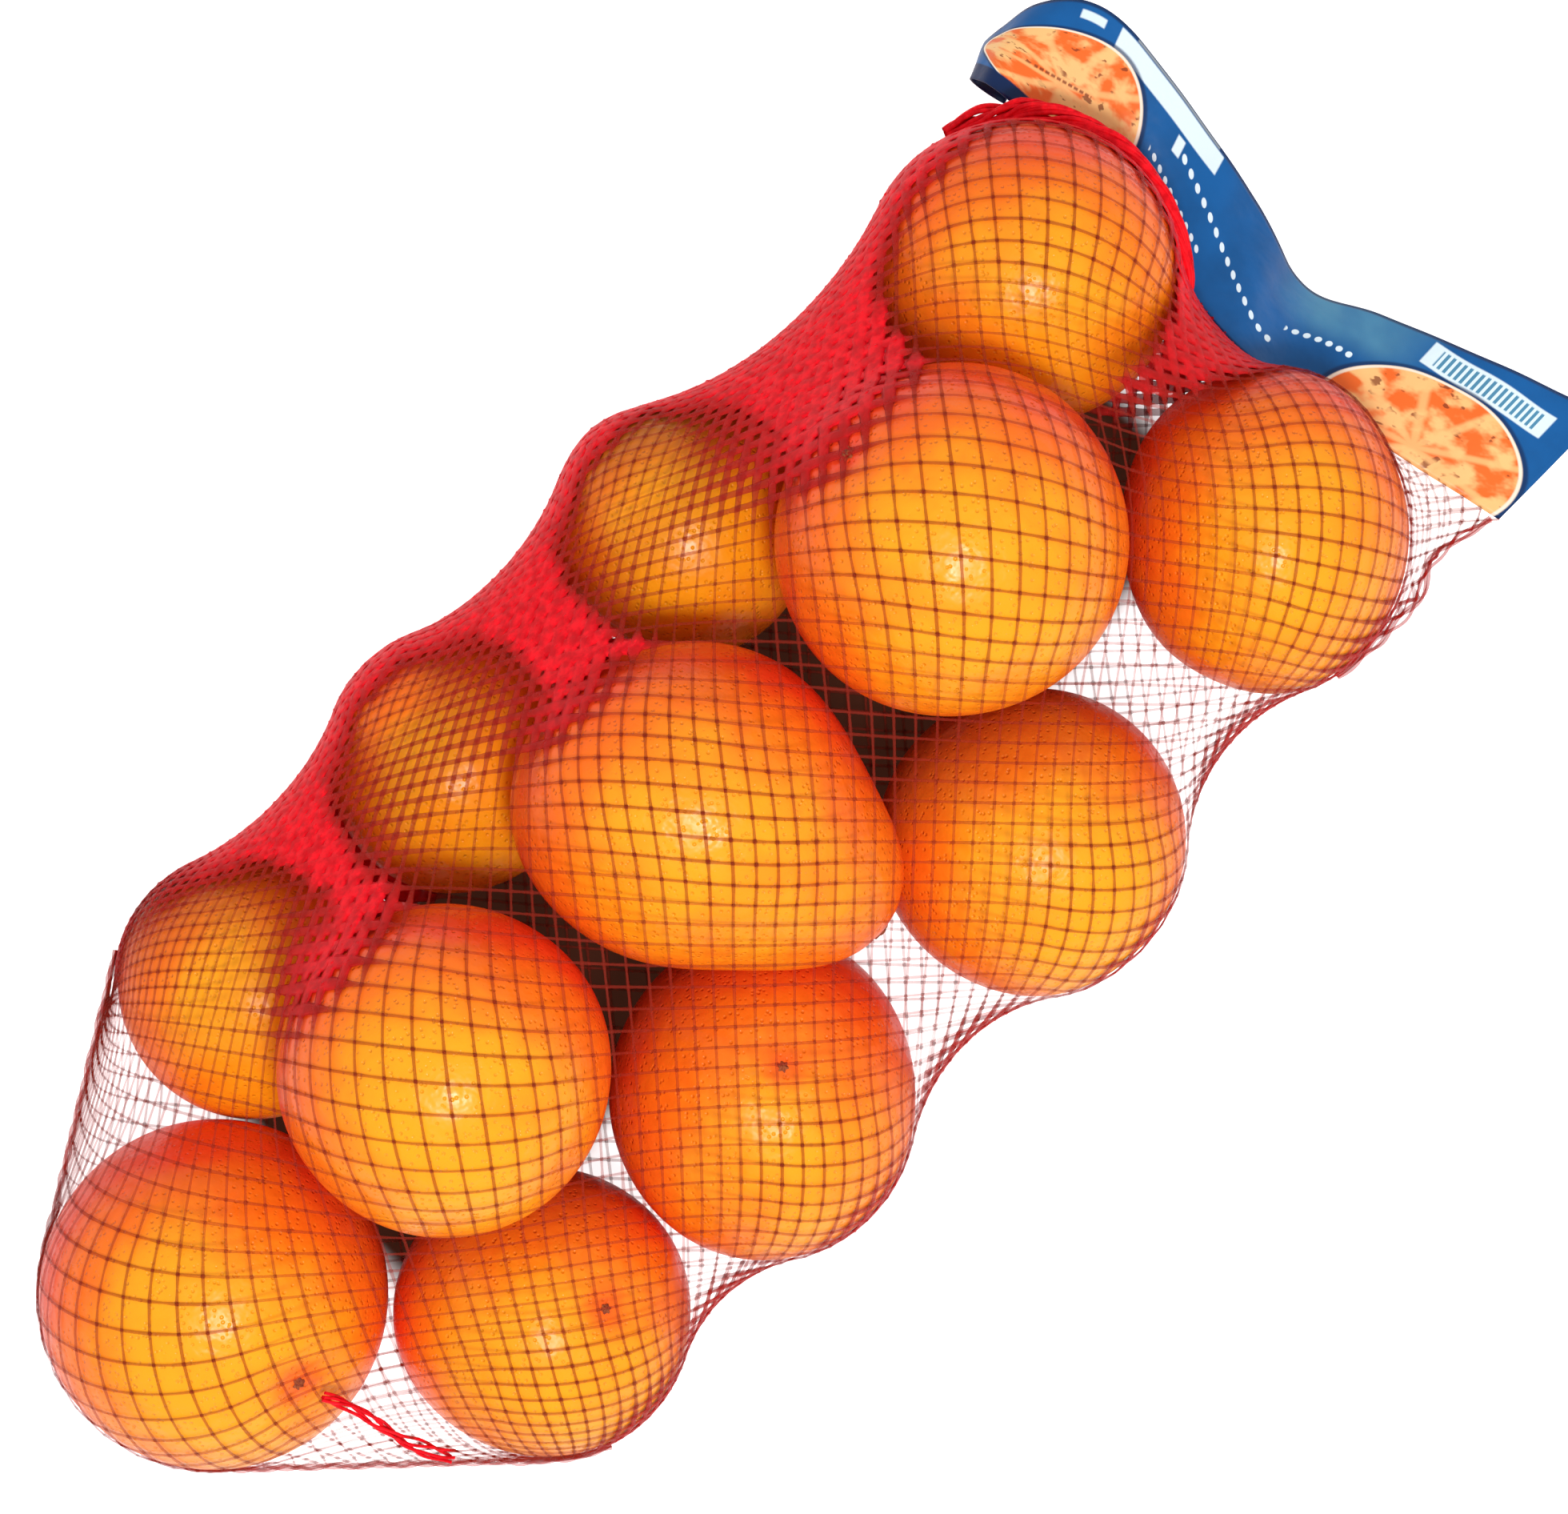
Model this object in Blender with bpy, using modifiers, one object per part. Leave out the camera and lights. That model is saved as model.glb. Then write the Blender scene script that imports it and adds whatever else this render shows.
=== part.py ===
"""A net of twelve oranges, lying on its side, with a printed film band across its mouth.

Metres, +Z up.  +Y runs along the bag towards the band, +X across it, and the bag rests on Z = 0.
The net and its oranges are one solid: twelve orange forms that stand a little proud of a net skin.
The skin is a closed tube pulled tight over them, so it spans the gaps between them as a real net does.
"""
import math

import bmesh
import bpy
import numpy as np
from mathutils import Matrix, Vector

# Driving dimensions ------------------------------------------------------------------------------

# Middle of the bag's box in the layout below, so that the finished part stands centred on its origin.
LAYOUT_MIDDLE = (0.0015, -0.0125)

# Oranges on the floor: name, x, y, mean radius, stretch, direction of the stretch in degrees from +X.
FLOOR_ORANGES = [
    ("left_1", -0.0507, -0.1267, 0.0315, 1.00, 0.0),
    ("left_2", -0.0544, -0.0555, 0.0304, 1.06, -45.0),
    ("left_3", -0.0552, 0.0220, 0.0310, 1.03, 45.0),
    ("left_4", -0.0406, 0.1198, 0.0360, 1.04, 45.0),
    ("end_1", -0.0057, -0.1834, 0.0406, 1.00, 0.0),
    ("right_1", 0.0523, -0.1320, 0.0343, 1.03, 45.0),
    ("right_2", 0.0527, -0.0594, 0.0373, 1.07, -45.0),
    ("right_3", 0.0552, 0.0271, 0.0359, 1.01, 45.0),
    ("right_4", 0.0420, 0.1174, 0.0359, 1.15, -45.0),
]
# Oranges that lie on top, in the valley between the two rows, in the same columns.
TOP_ORANGES = [
    ("top_2", -0.0045, -0.1045, 0.0378, 1.00, 0.0),
    ("top_3", -0.0081, -0.0233, 0.0387, 1.08, 45.0),
    ("top_4", -0.0078, 0.0618, 0.0405, 1.01, 45.0),
]
NECKED_ORANGE = "top_3"                  # this one is pear-shaped
NECK_DIRECTION = (0.97, 0.20, -0.16)
NECK_REACH = 0.42                        # extra radius at the neck's tip, as a share of the radius
NECK_HALF_ANGLE = math.radians(30)

RESTING_FLAT_DEPTH = 0.0008              # how far each low orange is flattened where it rests
SKIN_DEPTH = 0.0040                      # how far the net skin lies under the low oranges' surfaces
TOP_SKIN_DEPTH = 0.0100                  # and under the top ones, which stand out more
SKIN_FLOOR = 0.0016                      # the skin's lowest point
HEM_THICKNESS = 0.0016                   # the net at its two flat ends
END_SEAM_HEIGHT = 0.0340                 # the sewn end wraps the last oranges at this height
SEAM_CORNERS = ((-0.0785, -0.1430), (0.0850, -0.1430))  # and ends against the outer oranges here

BAND_THICKNESS = 0.0015
MOUTH_GAP = 0.0012                       # from the net's mouth to the middle of the tilted band's edge

# The band's cross sections from left to right: x, then y and z of its edge at the net (inner edge),
# then x, y and z of its free edge (outer edge).
BAND_SECTIONS = [
    ((-0.0825, 0.1465, 0.0170), (-0.0868, 0.1600, 0.0100)),
    ((-0.0790, 0.1472, 0.0220), (-0.0845, 0.1700, 0.0140)),
    ((-0.0720, 0.1480, 0.0235), (-0.0765, 0.1785, 0.0185)),
    ((-0.0600, 0.1490, 0.0190), (-0.0635, 0.1812, 0.0190)),
    ((-0.0390, 0.1500, 0.0110), (-0.0410, 0.1792, 0.0120)),
    ((-0.0160, 0.1470, 0.0180), (-0.0140, 0.1750, 0.0080)),
    ((0.0085, 0.1440, 0.0290), (0.0090, 0.1690, 0.0060)),
    ((0.0280, 0.1500, 0.0165), (0.0270, 0.1775, 0.0060)),
    ((0.0530, 0.1550, 0.0140), (0.0530, 0.1878, 0.0070)),
    ((0.0810, 0.1615, 0.0120), (0.0810, 0.1985, 0.0050)),
]

SKIN_ROUND = 40                          # skin cells round the bag
SKIN_LONG = 46                           # skin cells along it
HOOP_SHARE = 0.35                        # how much of the skin's pull runs round the bag
SEAM_SHARE = 0.995                       # how much of the sewn end's pull runs along its seam
SKIN_STEPS = 700                         # relaxation steps that pull the skin tight
ORANGE_SEGMENTS = 22
ORANGE_RINGS = 13


# Scene helpers -----------------------------------------------------------------------------------

def clear_scene():
    for thing in list(bpy.data.objects):
        bpy.data.objects.remove(thing, do_unlink=True)


def new_collection(name):
    collection = bpy.data.collections.new(name)
    bpy.context.scene.collection.children.link(collection)
    return collection


def new_object(name, mesh, collection):
    thing = bpy.data.objects.new(name, mesh)
    collection.objects.link(thing)
    return thing


def plain_material(name, color, roughness, metallic=0.0):
    material = bpy.data.materials.new(name)
    material.use_nodes = True
    shader = material.node_tree.nodes["Principled BSDF"]
    shader.inputs["Base Color"].default_value = (*color, 1.0)
    shader.inputs["Roughness"].default_value = roughness
    shader.inputs["Metallic"].default_value = metallic
    return material


def in_part(x, y, z):
    """A layout point in the part's own frame."""
    return (x - LAYOUT_MIDDLE[0], y - LAYOUT_MIDDLE[1], z)


# Where the oranges lie ---------------------------------------------------------------------------

def resting_height(x, y, radius, below):
    """Height of a round fruit let down at x, y until it touches one of those below it."""
    height = radius
    for _, (bx, by, bz), below_radius, _, _ in below:
        flat = math.hypot(x - bx, y - by)
        reach = radius + below_radius
        if flat < reach:
            height = max(height, bz + math.sqrt(reach * reach - flat * flat))
    return height


def place_oranges():
    """Every orange as (name, centre, mean radius, stretch, stretch direction)."""
    placed = []
    for name, x, y, radius, stretch, lean in FLOOR_ORANGES:
        height = radius - RESTING_FLAT_DEPTH
        placed.append((name, in_part(x, y, height), radius, stretch, math.radians(lean)))
    on_floor = list(placed)
    for name, x, y, radius, stretch, lean in TOP_ORANGES:
        px, py, _ = in_part(x, y, 0.0)
        height = resting_height(px, py, radius, on_floor)
        placed.append((name, (px, py, height), radius, stretch, math.radians(lean)))
    return placed


def orange_frame(radius, stretch, lean):
    """Matrix that turns a unit ball into the orange's egg shape, about its centre."""
    along = radius * math.sqrt(stretch)
    across = radius / math.sqrt(stretch)
    turn = Matrix.Rotation(lean, 3, "Z")
    return turn @ Matrix.Diagonal((along, across, radius)) @ turn.transposed()


def neck_share(unit):
    """How much of the neck's reach a direction on the pear-shaped orange has."""
    angle = unit.angle(Vector(NECK_DIRECTION))
    return math.exp(-((angle / NECK_HALF_ANGLE) ** 2))


def orange_object(name, centre, radius, stretch, lean, collection):
    mesh = bpy.data.meshes.new(name)
    shape = orange_frame(radius, stretch, lean)
    cage = bmesh.new()
    bmesh.ops.create_uvsphere(cage, u_segments=ORANGE_SEGMENTS, v_segments=ORANGE_RINGS, radius=1.0)
    for vertex in cage.verts:
        unit = vertex.co.normalized()
        grow = 1.0
        if name == NECKED_ORANGE:
            grow += NECK_REACH * neck_share(unit)
        vertex.co = shape @ (unit * grow)
    cage.to_mesh(mesh)
    cage.free()
    thing = new_object(name, mesh, collection)
    thing.location = centre
    thing.display_type = "WIRE"
    thing.hide_render = True
    return thing


# The net skin ------------------------------------------------------------------------------------

def edge_curve(points, count):
    """Evenly spaced points on a smooth curve through the given ones (Catmull-Rom)."""
    guide = np.array(points, dtype=float)
    guide = np.vstack([2 * guide[0] - guide[1], guide, 2 * guide[-1] - guide[-2]])
    dense = []
    for k in range(1, len(guide) - 2):
        a, b, c, d = guide[k - 1:k + 3]
        for t in np.linspace(0.0, 1.0, 24, endpoint=False):
            dense.append(0.5 * (2 * b + (c - a) * t + (2 * a - 5 * b + 4 * c - d) * t ** 2
                                + (3 * b - a - 3 * c + d) * t ** 3))
    dense.append(guide[-2])
    dense = np.array(dense)
    travelled = np.concatenate([[0.0], np.cumsum(np.linalg.norm(np.diff(dense, axis=0), axis=1))])
    wanted = np.linspace(0.0, travelled[-1], count)
    return np.stack([np.interp(wanted, travelled, dense[:, axis]) for axis in range(3)], axis=1)


def flat_loop(edge):
    """A closed flat ring over and under an edge: left to right on top, and back underneath."""
    lift = np.array([0.0, 0.0, HEM_THICKNESS / 2])
    return np.vstack([edge[:1], edge[1:-1] + lift, edge[-1:], (edge[1:-1] - lift)[::-1]])


def mouth_edge():
    """The net's edge, just short of the band's inner edge."""
    inner = [np.array(in_part(*section[0])) for section in BAND_SECTIONS]
    outer = [np.array(in_part(*section[1])) for section in BAND_SECTIONS]
    short = []
    for near, far in zip(inner, outer):
        back = (near - far) / np.linalg.norm(near - far)
        short.append(near + back * MOUTH_GAP)
    return edge_curve(short, SKIN_ROUND // 2 + 1)


def sewn_edge():
    """The first guess of the sewn end: a wide arc round the last oranges, from corner to corner."""
    left, right = SEAM_CORNERS
    arc = [left, (-0.070, -0.215), (-0.010, -0.240), (0.055, -0.215), right]
    return edge_curve([in_part(x, y, END_SEAM_HEIGHT) for x, y in arc], SKIN_ROUND // 2 + 1)


def loose_tube():
    """The net before it is pulled tight: rings from the sewn end to the mouth, as [along, round]."""
    first = flat_loop(sewn_edge())
    last = flat_loop(mouth_edge())
    turn = np.linspace(math.pi, -math.pi, SKIN_ROUND, endpoint=False)
    rings = []
    for along in np.linspace(0.0, 1.0, SKIN_LONG + 1):
        flat = first * (1.0 - along) + last * along
        ring = flat.copy()
        swell = math.sin(math.pi * along) ** 0.4
        ring[:, 0] = flat[:, 0] * (1.0 - swell) + swell * 0.100 * np.cos(turn)
        ring[:, 2] = flat[:, 2] * (1.0 - swell) + swell * (0.062 + 0.066 * np.sin(turn))
        rings.append(ring)
    return np.array(rings)


def push_out(points, placed):
    """Moves points that are inside an orange, or under the floor, back onto its surface."""
    for name, centre, radius, stretch, lean in placed:
        depth = TOP_SKIN_DEPTH if name.startswith("top_") else SKIN_DEPTH
        shape = np.array(orange_frame(radius - depth, stretch, lean))
        unit = (points - centre) @ np.linalg.inv(shape).T
        far = np.linalg.norm(unit, axis=-1, keepdims=True)
        limit = np.ones_like(far)
        if name == NECKED_ORANGE:
            neck = np.array(Vector(NECK_DIRECTION).normalized())
            cosine = np.clip((unit @ neck)[..., None] / np.maximum(far, 1e-9), -1.0, 1.0)
            limit += NECK_REACH * np.exp(-((np.arccos(cosine) / NECK_HALF_ANGLE) ** 2))
        outside = unit * np.maximum(limit / np.maximum(far, 1e-9), 1.0)
        points = centre + outside @ shape.T
    points[..., 2] = np.maximum(points[..., 2], SKIN_FLOOR)
    return points


def pull_tight(tube, placed):
    """Lets every point move between its four neighbours, kept outside the oranges."""
    half = SKIN_ROUND // 2
    mouth = tube[-1].copy()
    corners = tube[0, [0, half]].copy()
    for _ in range(SKIN_STEPS):
        middle = (np.roll(tube, 1, axis=1) + np.roll(tube, -1, axis=1)) / 2
        along = (tube[:-2] + tube[2:]) / 2
        inner = HOOP_SHARE * middle[1:-1] + (1.0 - HOOP_SHARE) * along
        sewn = SEAM_SHARE * middle[0] + (1.0 - SEAM_SHARE) * tube[1]
        tube[1:-1] = inner
        tube[0] = sewn
        tube = push_out(tube, placed)
        # The sewn end stays one flat seam at its own height.
        over, under = tube[0, 1:half], tube[0, half + 1:][::-1]
        seam = (over + under) / 2
        tube[0, 1:half] = seam
        tube[0, half + 1:] = seam[::-1]
        tube[0, :, 2] = END_SEAM_HEIGHT
        tube[0, [0, half]] = corners
        tube[-1] = mouth
    tube[0] = flat_loop(tube[0, :half + 1])
    return tube


def skin_object(name, placed, collection):
    tube = pull_tight(loose_tube(), placed)
    cage = bmesh.new()
    grid = [[cage.verts.new(point) for point in ring] for ring in tube]
    for low, high in zip(grid[:-1], grid[1:]):
        for k in range(SKIN_ROUND):
            after = (k + 1) % SKIN_ROUND
            cage.faces.new((low[k], low[after], high[after], high[k]))
    half = SKIN_ROUND // 2
    for ring in (grid[0], grid[-1]):
        cage.faces.new((ring[0], ring[1], ring[-1]))
        for k in range(1, half - 1):
            cage.faces.new((ring[k], ring[k + 1], ring[-k - 1], ring[-k]))
        cage.faces.new((ring[half - 1], ring[half], ring[half + 1]))
    bmesh.ops.triangulate(cage, faces=cage.faces[:])
    bmesh.ops.recalc_face_normals(cage, faces=cage.faces[:])
    mesh = bpy.data.meshes.new(name)
    cage.to_mesh(mesh)
    cage.free()
    return new_object(name, mesh, collection)


def floor_cutter(collection):
    """A slab under the floor that flattens the oranges where they rest."""
    mesh = bpy.data.meshes.new("floor_cutter")
    slab = bmesh.new()
    bmesh.ops.create_cube(slab, size=1.0)
    bmesh.ops.scale(slab, vec=(0.4, 0.6, 0.05), verts=slab.verts)
    bmesh.ops.translate(slab, vec=(0.0, 0.0, -0.025), verts=slab.verts)
    slab.to_mesh(mesh)
    slab.free()
    thing = new_object("floor_cutter", mesh, collection)
    thing.display_type = "WIRE"
    thing.hide_render = True
    return thing


def add_boolean(thing, other, operation):
    step = thing.modifiers.new(other.name, "BOOLEAN")
    step.operation = operation
    step.solver = "EXACT"
    step.object = other


def make_net_bag(parts, guides):
    placed = place_oranges()
    bag = skin_object("net_bag", placed, parts)
    for name, centre, radius, stretch, lean in placed:
        form = orange_object(name, centre, radius, stretch, lean, guides)
        add_boolean(bag, form, "UNION")
    add_boolean(bag, floor_cutter(guides), "DIFFERENCE")
    bag.data.materials.append(plain_material("net_and_oranges", (0.86, 0.30, 0.03), 0.45))
    return bag


# The printed band --------------------------------------------------------------------------------

def make_band(parts):
    """A thin curved strip: an open sheet through the sections, thickened about its middle."""
    inner = edge_curve([in_part(*section[0]) for section in BAND_SECTIONS], SKIN_ROUND // 2 + 1)
    outer = edge_curve([in_part(*section[1]) for section in BAND_SECTIONS], SKIN_ROUND // 2 + 1)
    cage = bmesh.new()
    rows = []
    for share in (0.0, 0.33, 0.67, 1.0):
        row = inner * (1.0 - share) + outer * share
        rows.append([cage.verts.new(point) for point in row])
    for low, high in zip(rows[:-1], rows[1:]):
        for k in range(len(low) - 1):
            cage.faces.new((low[k], low[k + 1], high[k + 1], high[k]))
    mesh = bpy.data.meshes.new("label_band")
    cage.to_mesh(mesh)
    cage.free()
    band = new_object("label_band", mesh, parts)
    thick = band.modifiers.new("thickness", "SOLIDIFY")
    thick.thickness = BAND_THICKNESS
    thick.offset = 0.0
    thick.use_even_offset = True
    band.data.materials.append(plain_material("printed_film", (0.01, 0.09, 0.33), 0.35))
    return band


clear_scene()
part_collection = new_collection("net_of_oranges")
guide_collection = new_collection("guides")
make_net_bag(part_collection, guide_collection)
make_band(part_collection)
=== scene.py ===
# %% [markdown]
# # A net of oranges
# A greengrocer's net: twelve oranges in a stretched plastic net, closed with a printed film band.
# The solids of the bag are already there, as one frame that nothing moves.  This lesson gives
# them their looks: real oranges, a net knotted from eight thousand crossings, and the band.
# Each step says what the real thing is, how it could be made, and why it is made the way it is.

# %% load the frame
import math

import bmesh
import bpy
import numpy as np
from mathutils import Matrix, Vector


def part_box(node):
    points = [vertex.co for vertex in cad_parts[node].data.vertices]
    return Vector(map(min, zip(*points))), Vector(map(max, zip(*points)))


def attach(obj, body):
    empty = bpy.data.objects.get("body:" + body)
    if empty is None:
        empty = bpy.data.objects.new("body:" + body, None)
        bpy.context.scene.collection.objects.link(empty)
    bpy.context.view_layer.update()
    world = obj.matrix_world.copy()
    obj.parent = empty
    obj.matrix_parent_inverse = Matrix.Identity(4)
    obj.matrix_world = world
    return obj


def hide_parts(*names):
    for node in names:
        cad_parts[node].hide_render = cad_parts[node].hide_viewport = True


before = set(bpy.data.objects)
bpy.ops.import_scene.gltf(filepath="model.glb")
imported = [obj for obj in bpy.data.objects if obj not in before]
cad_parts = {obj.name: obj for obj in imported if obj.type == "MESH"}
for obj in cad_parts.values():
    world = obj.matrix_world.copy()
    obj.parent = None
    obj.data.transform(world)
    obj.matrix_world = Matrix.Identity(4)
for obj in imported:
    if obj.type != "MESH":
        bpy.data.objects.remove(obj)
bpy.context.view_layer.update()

# %% [markdown]
# ## Where everything lies
# All the pieces share one table: where each orange lies and how big it is.  The nine at the
# bottom rest on the floor, in two rows with a big one at the sewn end.  The other three lie in
# the valley between the rows, and their height follows from what they touch.  +Y runs along the
# bag towards the band.  The frame's own box shows whether the table fits it.

# %% the layout
LAYOUT_MIDDLE = (0.0015, -0.0125)
RESTING_FLAT_DEPTH = 0.0008

# name, x, y, mean radius, stretch, direction of the stretch in degrees, where the stem end faces
FLOOR_ORANGES = [
    ("left_1", -0.0507, -0.1267, 0.0315, 1.00, 0.0, (-0.30, 0.75, -0.55)),
    ("left_2", -0.0544, -0.0555, 0.0304, 1.06, -45.0, (-0.80, 0.10, -0.50)),
    ("left_3", -0.0552, 0.0220, 0.0310, 1.03, 45.0, (-0.75, 0.35, 0.05)),
    ("left_4", -0.0406, 0.1198, 0.0360, 1.04, 45.0, (0.30, 0.90, -0.40)),
    ("end_1", -0.0057, -0.1834, 0.0406, 1.00, 0.0, (0.742, 0.089, 0.665)),
    ("right_1", 0.0523, -0.1320, 0.0343, 1.03, 45.0, (0.25, 0.405, 0.879)),
    ("right_2", 0.0527, -0.0594, 0.0373, 1.07, -45.0, (-0.082, 0.26, 0.962)),
    ("right_3", 0.0552, 0.0271, 0.0359, 1.01, 45.0, (0.85, -0.20, -0.30)),
    ("right_4", 0.0420, 0.1174, 0.0359, 1.15, -45.0, (0.60, 0.55, -0.60)),
]
TOP_ORANGES = [
    ("top_2", -0.0045, -0.1045, 0.0378, 1.00, 0.0, (-0.20, 0.50, -0.80)),
    ("top_3", -0.0081, -0.0233, 0.0387, 1.08, 45.0, (0.97, 0.20, -0.16)),
    ("top_4", -0.0078, 0.0618, 0.0405, 1.01, 45.0, (-0.778, -0.111, 0.62)),
]
NECKED_ORANGE = "top_3"
NECK_REACH = 0.42
NECK_HALF_ANGLE = math.radians(30)


def in_part(x, y, z):
    """A layout point in the part's own frame."""
    return (x - LAYOUT_MIDDLE[0], y - LAYOUT_MIDDLE[1], z)


def resting_height(x, y, radius, below):
    """Height of a round fruit let down at x, y until it touches one of those below it."""
    height = radius
    for fruit in below:
        flat = math.hypot(x - fruit["centre"][0], y - fruit["centre"][1])
        reach = radius + fruit["radius"]
        if flat < reach:
            height = max(height, fruit["centre"][2] + math.sqrt(reach * reach - flat * flat))
    return height


def ball_shape(radius, stretch, lean):
    """Matrix that turns a unit ball into the orange's egg shape."""
    turn = Matrix.Rotation(lean, 3, "Z")
    sizes = (radius * math.sqrt(stretch), radius / math.sqrt(stretch), radius)
    return np.array(turn @ Matrix.Diagonal(sizes) @ turn.transposed())


def make_fruit(index, row, below):
    """One row of the table as a dictionary, with its own seeded lumps."""
    name, x, y, radius, stretch, lean, stem = row
    px, py, _ = in_part(x, y, 0.0)
    height = resting_height(px, py, radius, below) if below else radius - RESTING_FLAT_DEPTH
    chance = np.random.default_rng(100 + index)
    stem = np.array(stem) / np.linalg.norm(stem)
    return {
        "name": name, "centre": np.array((px, py, height)), "radius": radius, "stem": stem,
        "shape": ball_shape(radius, stretch, math.radians(lean)),
        "lumps": [(chance.normal(size=3) * 2.2, chance.uniform(0, 6.28), 0.006) for _ in range(4)],
    }


floor_fruit = [make_fruit(k, row, []) for k, row in enumerate(FLOOR_ORANGES)]
top_fruit = [make_fruit(20 + k, row, floor_fruit) for k, row in enumerate(TOP_ORANGES)]
fruits = floor_fruit + top_fruit
bag_low, bag_high = (np.array(corner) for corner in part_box("net_bag"))
table_right = max(fruit["centre"][0] + fruit["radius"] for fruit in fruits)
print("oranges:", len(fruits), "table's right edge is off the frame's by",
      round(1000 * abs(table_right - bag_high[0]), 1), "mm")

# %% [markdown]
# ## The camera
# The bag is seen from straight above, with its length running from the lower left to the upper
# right.  So the camera looks down and is rolled by 45 degrees about its own axis, and a long
# lens from 1.2 m keeps the perspective mild.

# %% the camera
IMAGE_WIDTH, IMAGE_HEIGHT = 1960, 1892
CAMERA_HEIGHT = 1.2
SHARP_HEIGHT = 0.037                     # the level at which the view's width is given
VIEW_WIDTH = 0.3681                      # at that level
SENSOR = 36.0

camera_data = bpy.data.cameras.new("camera")
camera_data.sensor_width = SENSOR
camera_data.lens = SENSOR * (CAMERA_HEIGHT - SHARP_HEIGHT) / VIEW_WIDTH
camera = bpy.data.objects.new("camera", camera_data)
bpy.context.scene.collection.objects.link(camera)
camera.location = in_part(0.0, 0.0, CAMERA_HEIGHT)
camera.rotation_euler = (0.0, 0.0, math.radians(45))
bpy.context.scene.camera = camera
print("lens:", round(camera_data.lens, 1), "mm")

# %% [markdown]
# ## Wiring materials
# A material is a tree of nodes.  Writing each node and link by hand hides what the tree does, so
# a small helper adds nodes, sets their values and links their sockets in one line each.

# %% a helper for node trees
class Wiring:
    """Adds nodes to one tree: a number or colour sets an input, and a socket is linked to it."""

    def __init__(self, tree):
        self.tree = tree

    def add(self, kind, inputs=None, **settings):
        node = self.tree.nodes.new(kind)
        for key, value in settings.items():
            setattr(node, key, value)
        for key, value in (inputs or {}).items():
            self.feed(node.inputs[key], value)
        return node

    def feed(self, socket, value):
        if isinstance(value, bpy.types.NodeSocket):
            self.tree.links.new(value, socket)
        else:
            socket.default_value = value

    def math(self, operation, a, b=0.0, c=0.0, clamp=False):
        node = self.add("ShaderNodeMath", {0: a, 1: b, 2: c}, operation=operation, use_clamp=clamp)
        return node.outputs[0]

    def mix(self, share, a, b, blend="MIX"):
        node = self.add("ShaderNodeMix", data_type="RGBA", blend_type=blend)
        self.feed(node.inputs[0], share)
        self.feed(node.inputs[6], a)
        self.feed(node.inputs[7], b)
        return node.outputs[2]

    def between(self, value, low, high, to_low=0.0, to_high=1.0):
        node = self.add("ShaderNodeMapRange", {0: value, 1: low, 2: high, 3: to_low, 4: to_high},
                        interpolation_type="SMOOTHSTEP")
        return node.outputs[0]

    def mottle(self, place, scale, low, high):
        node = self.add("ShaderNodeGroup", {}, node_tree=bpy.data.node_groups["soft_mottle"])
        for key, value in (("Vector", place), ("Scale", scale), ("Low", low), ("High", high)):
            self.feed(node.inputs[key], value)
        return node.outputs["Value"]

    def read(self, name):
        return self.add("ShaderNodeAttribute", attribute_name=name).outputs["Fac"]

    def bump(self, height, distance, strength=1.0):
        node = self.add("ShaderNodeBump", {"Height": height, "Distance": distance,
                                           "Strength": strength})
        return node.outputs[0]


def new_group(name, inputs, outputs):
    """An empty shader node group with its sockets; returns it with its wiring and both ends."""
    group = bpy.data.node_groups.new(name, "ShaderNodeTree")
    for label, kind in inputs:
        group.interface.new_socket(label, in_out="INPUT", socket_type=kind)
    for label, kind in outputs:
        group.interface.new_socket(label, in_out="OUTPUT", socket_type=kind)
    wiring = Wiring(group)
    return group, wiring, wiring.add("NodeGroupInput"), wiring.add("NodeGroupOutput")


def new_material(name, **values):
    """A material with one Principled shader; values are set straight on the shader's sockets."""
    material = bpy.data.materials.new(name)
    material.use_nodes = True
    shader = material.node_tree.nodes["Principled BSDF"]
    for key, value in values.items():
        shader.inputs[key.replace("_", " ")].default_value = value
    return material, Wiring(material.node_tree), shader


FLOAT, COLOR, VECTOR = "NodeSocketFloat", "NodeSocketColor", "NodeSocketVector"
print("wiring helper ready")

# %% [markdown]
# ## Two effects that many surfaces share
# Nothing real has one even colour.  The first group is a soft mottle: cloudy noise that drifts a
# value between two levels.  The second is pore relief: small round pits in a pebbly ground, which
# is what peel has, and what dry stem ends have more coarsely.

# %% mottle and pore groups
def make_mottle_group():
    group, wire, start, end = new_group(
        "soft_mottle", [("Vector", VECTOR), ("Scale", FLOAT), ("Low", FLOAT), ("High", FLOAT)],
        [("Value", FLOAT)])
    noise = wire.add("ShaderNodeTexNoise", {"Vector": start.outputs["Vector"],
                                            "Scale": start.outputs["Scale"],
                                            "Detail": 3.0, "Roughness": 0.55})
    value = wire.between(noise.outputs[0], 0.3, 0.7, start.outputs["Low"], start.outputs["High"])
    wire.feed(end.inputs["Value"], value)
    return group


def make_pore_group():
    group, wire, start, end = new_group(
        "pore_relief", [("Vector", VECTOR), ("Scale", FLOAT)],
        [("Height", FLOAT), ("Pit", FLOAT)])
    cells = wire.add("ShaderNodeTexVoronoi", {"Vector": start.outputs["Vector"],
                                              "Scale": start.outputs["Scale"]})
    pit = wire.between(cells.outputs["Distance"], 0.08, 0.34, 1.0, 0.0)
    coarse = wire.math("MULTIPLY", start.outputs["Scale"], 0.38)
    pebbles = wire.add("ShaderNodeTexNoise", {"Vector": start.outputs["Vector"], "Scale": coarse,
                                              "Detail": 2.0})
    height = wire.math("MULTIPLY_ADD", pit, -0.55, pebbles.outputs[0])
    wire.feed(end.inputs["Height"], height)
    wire.feed(end.inputs["Pit"], pit)
    return group


mottle_group = make_mottle_group()
pore_group = make_pore_group()
print("groups:", [group.name for group in bpy.data.node_groups])

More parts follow.
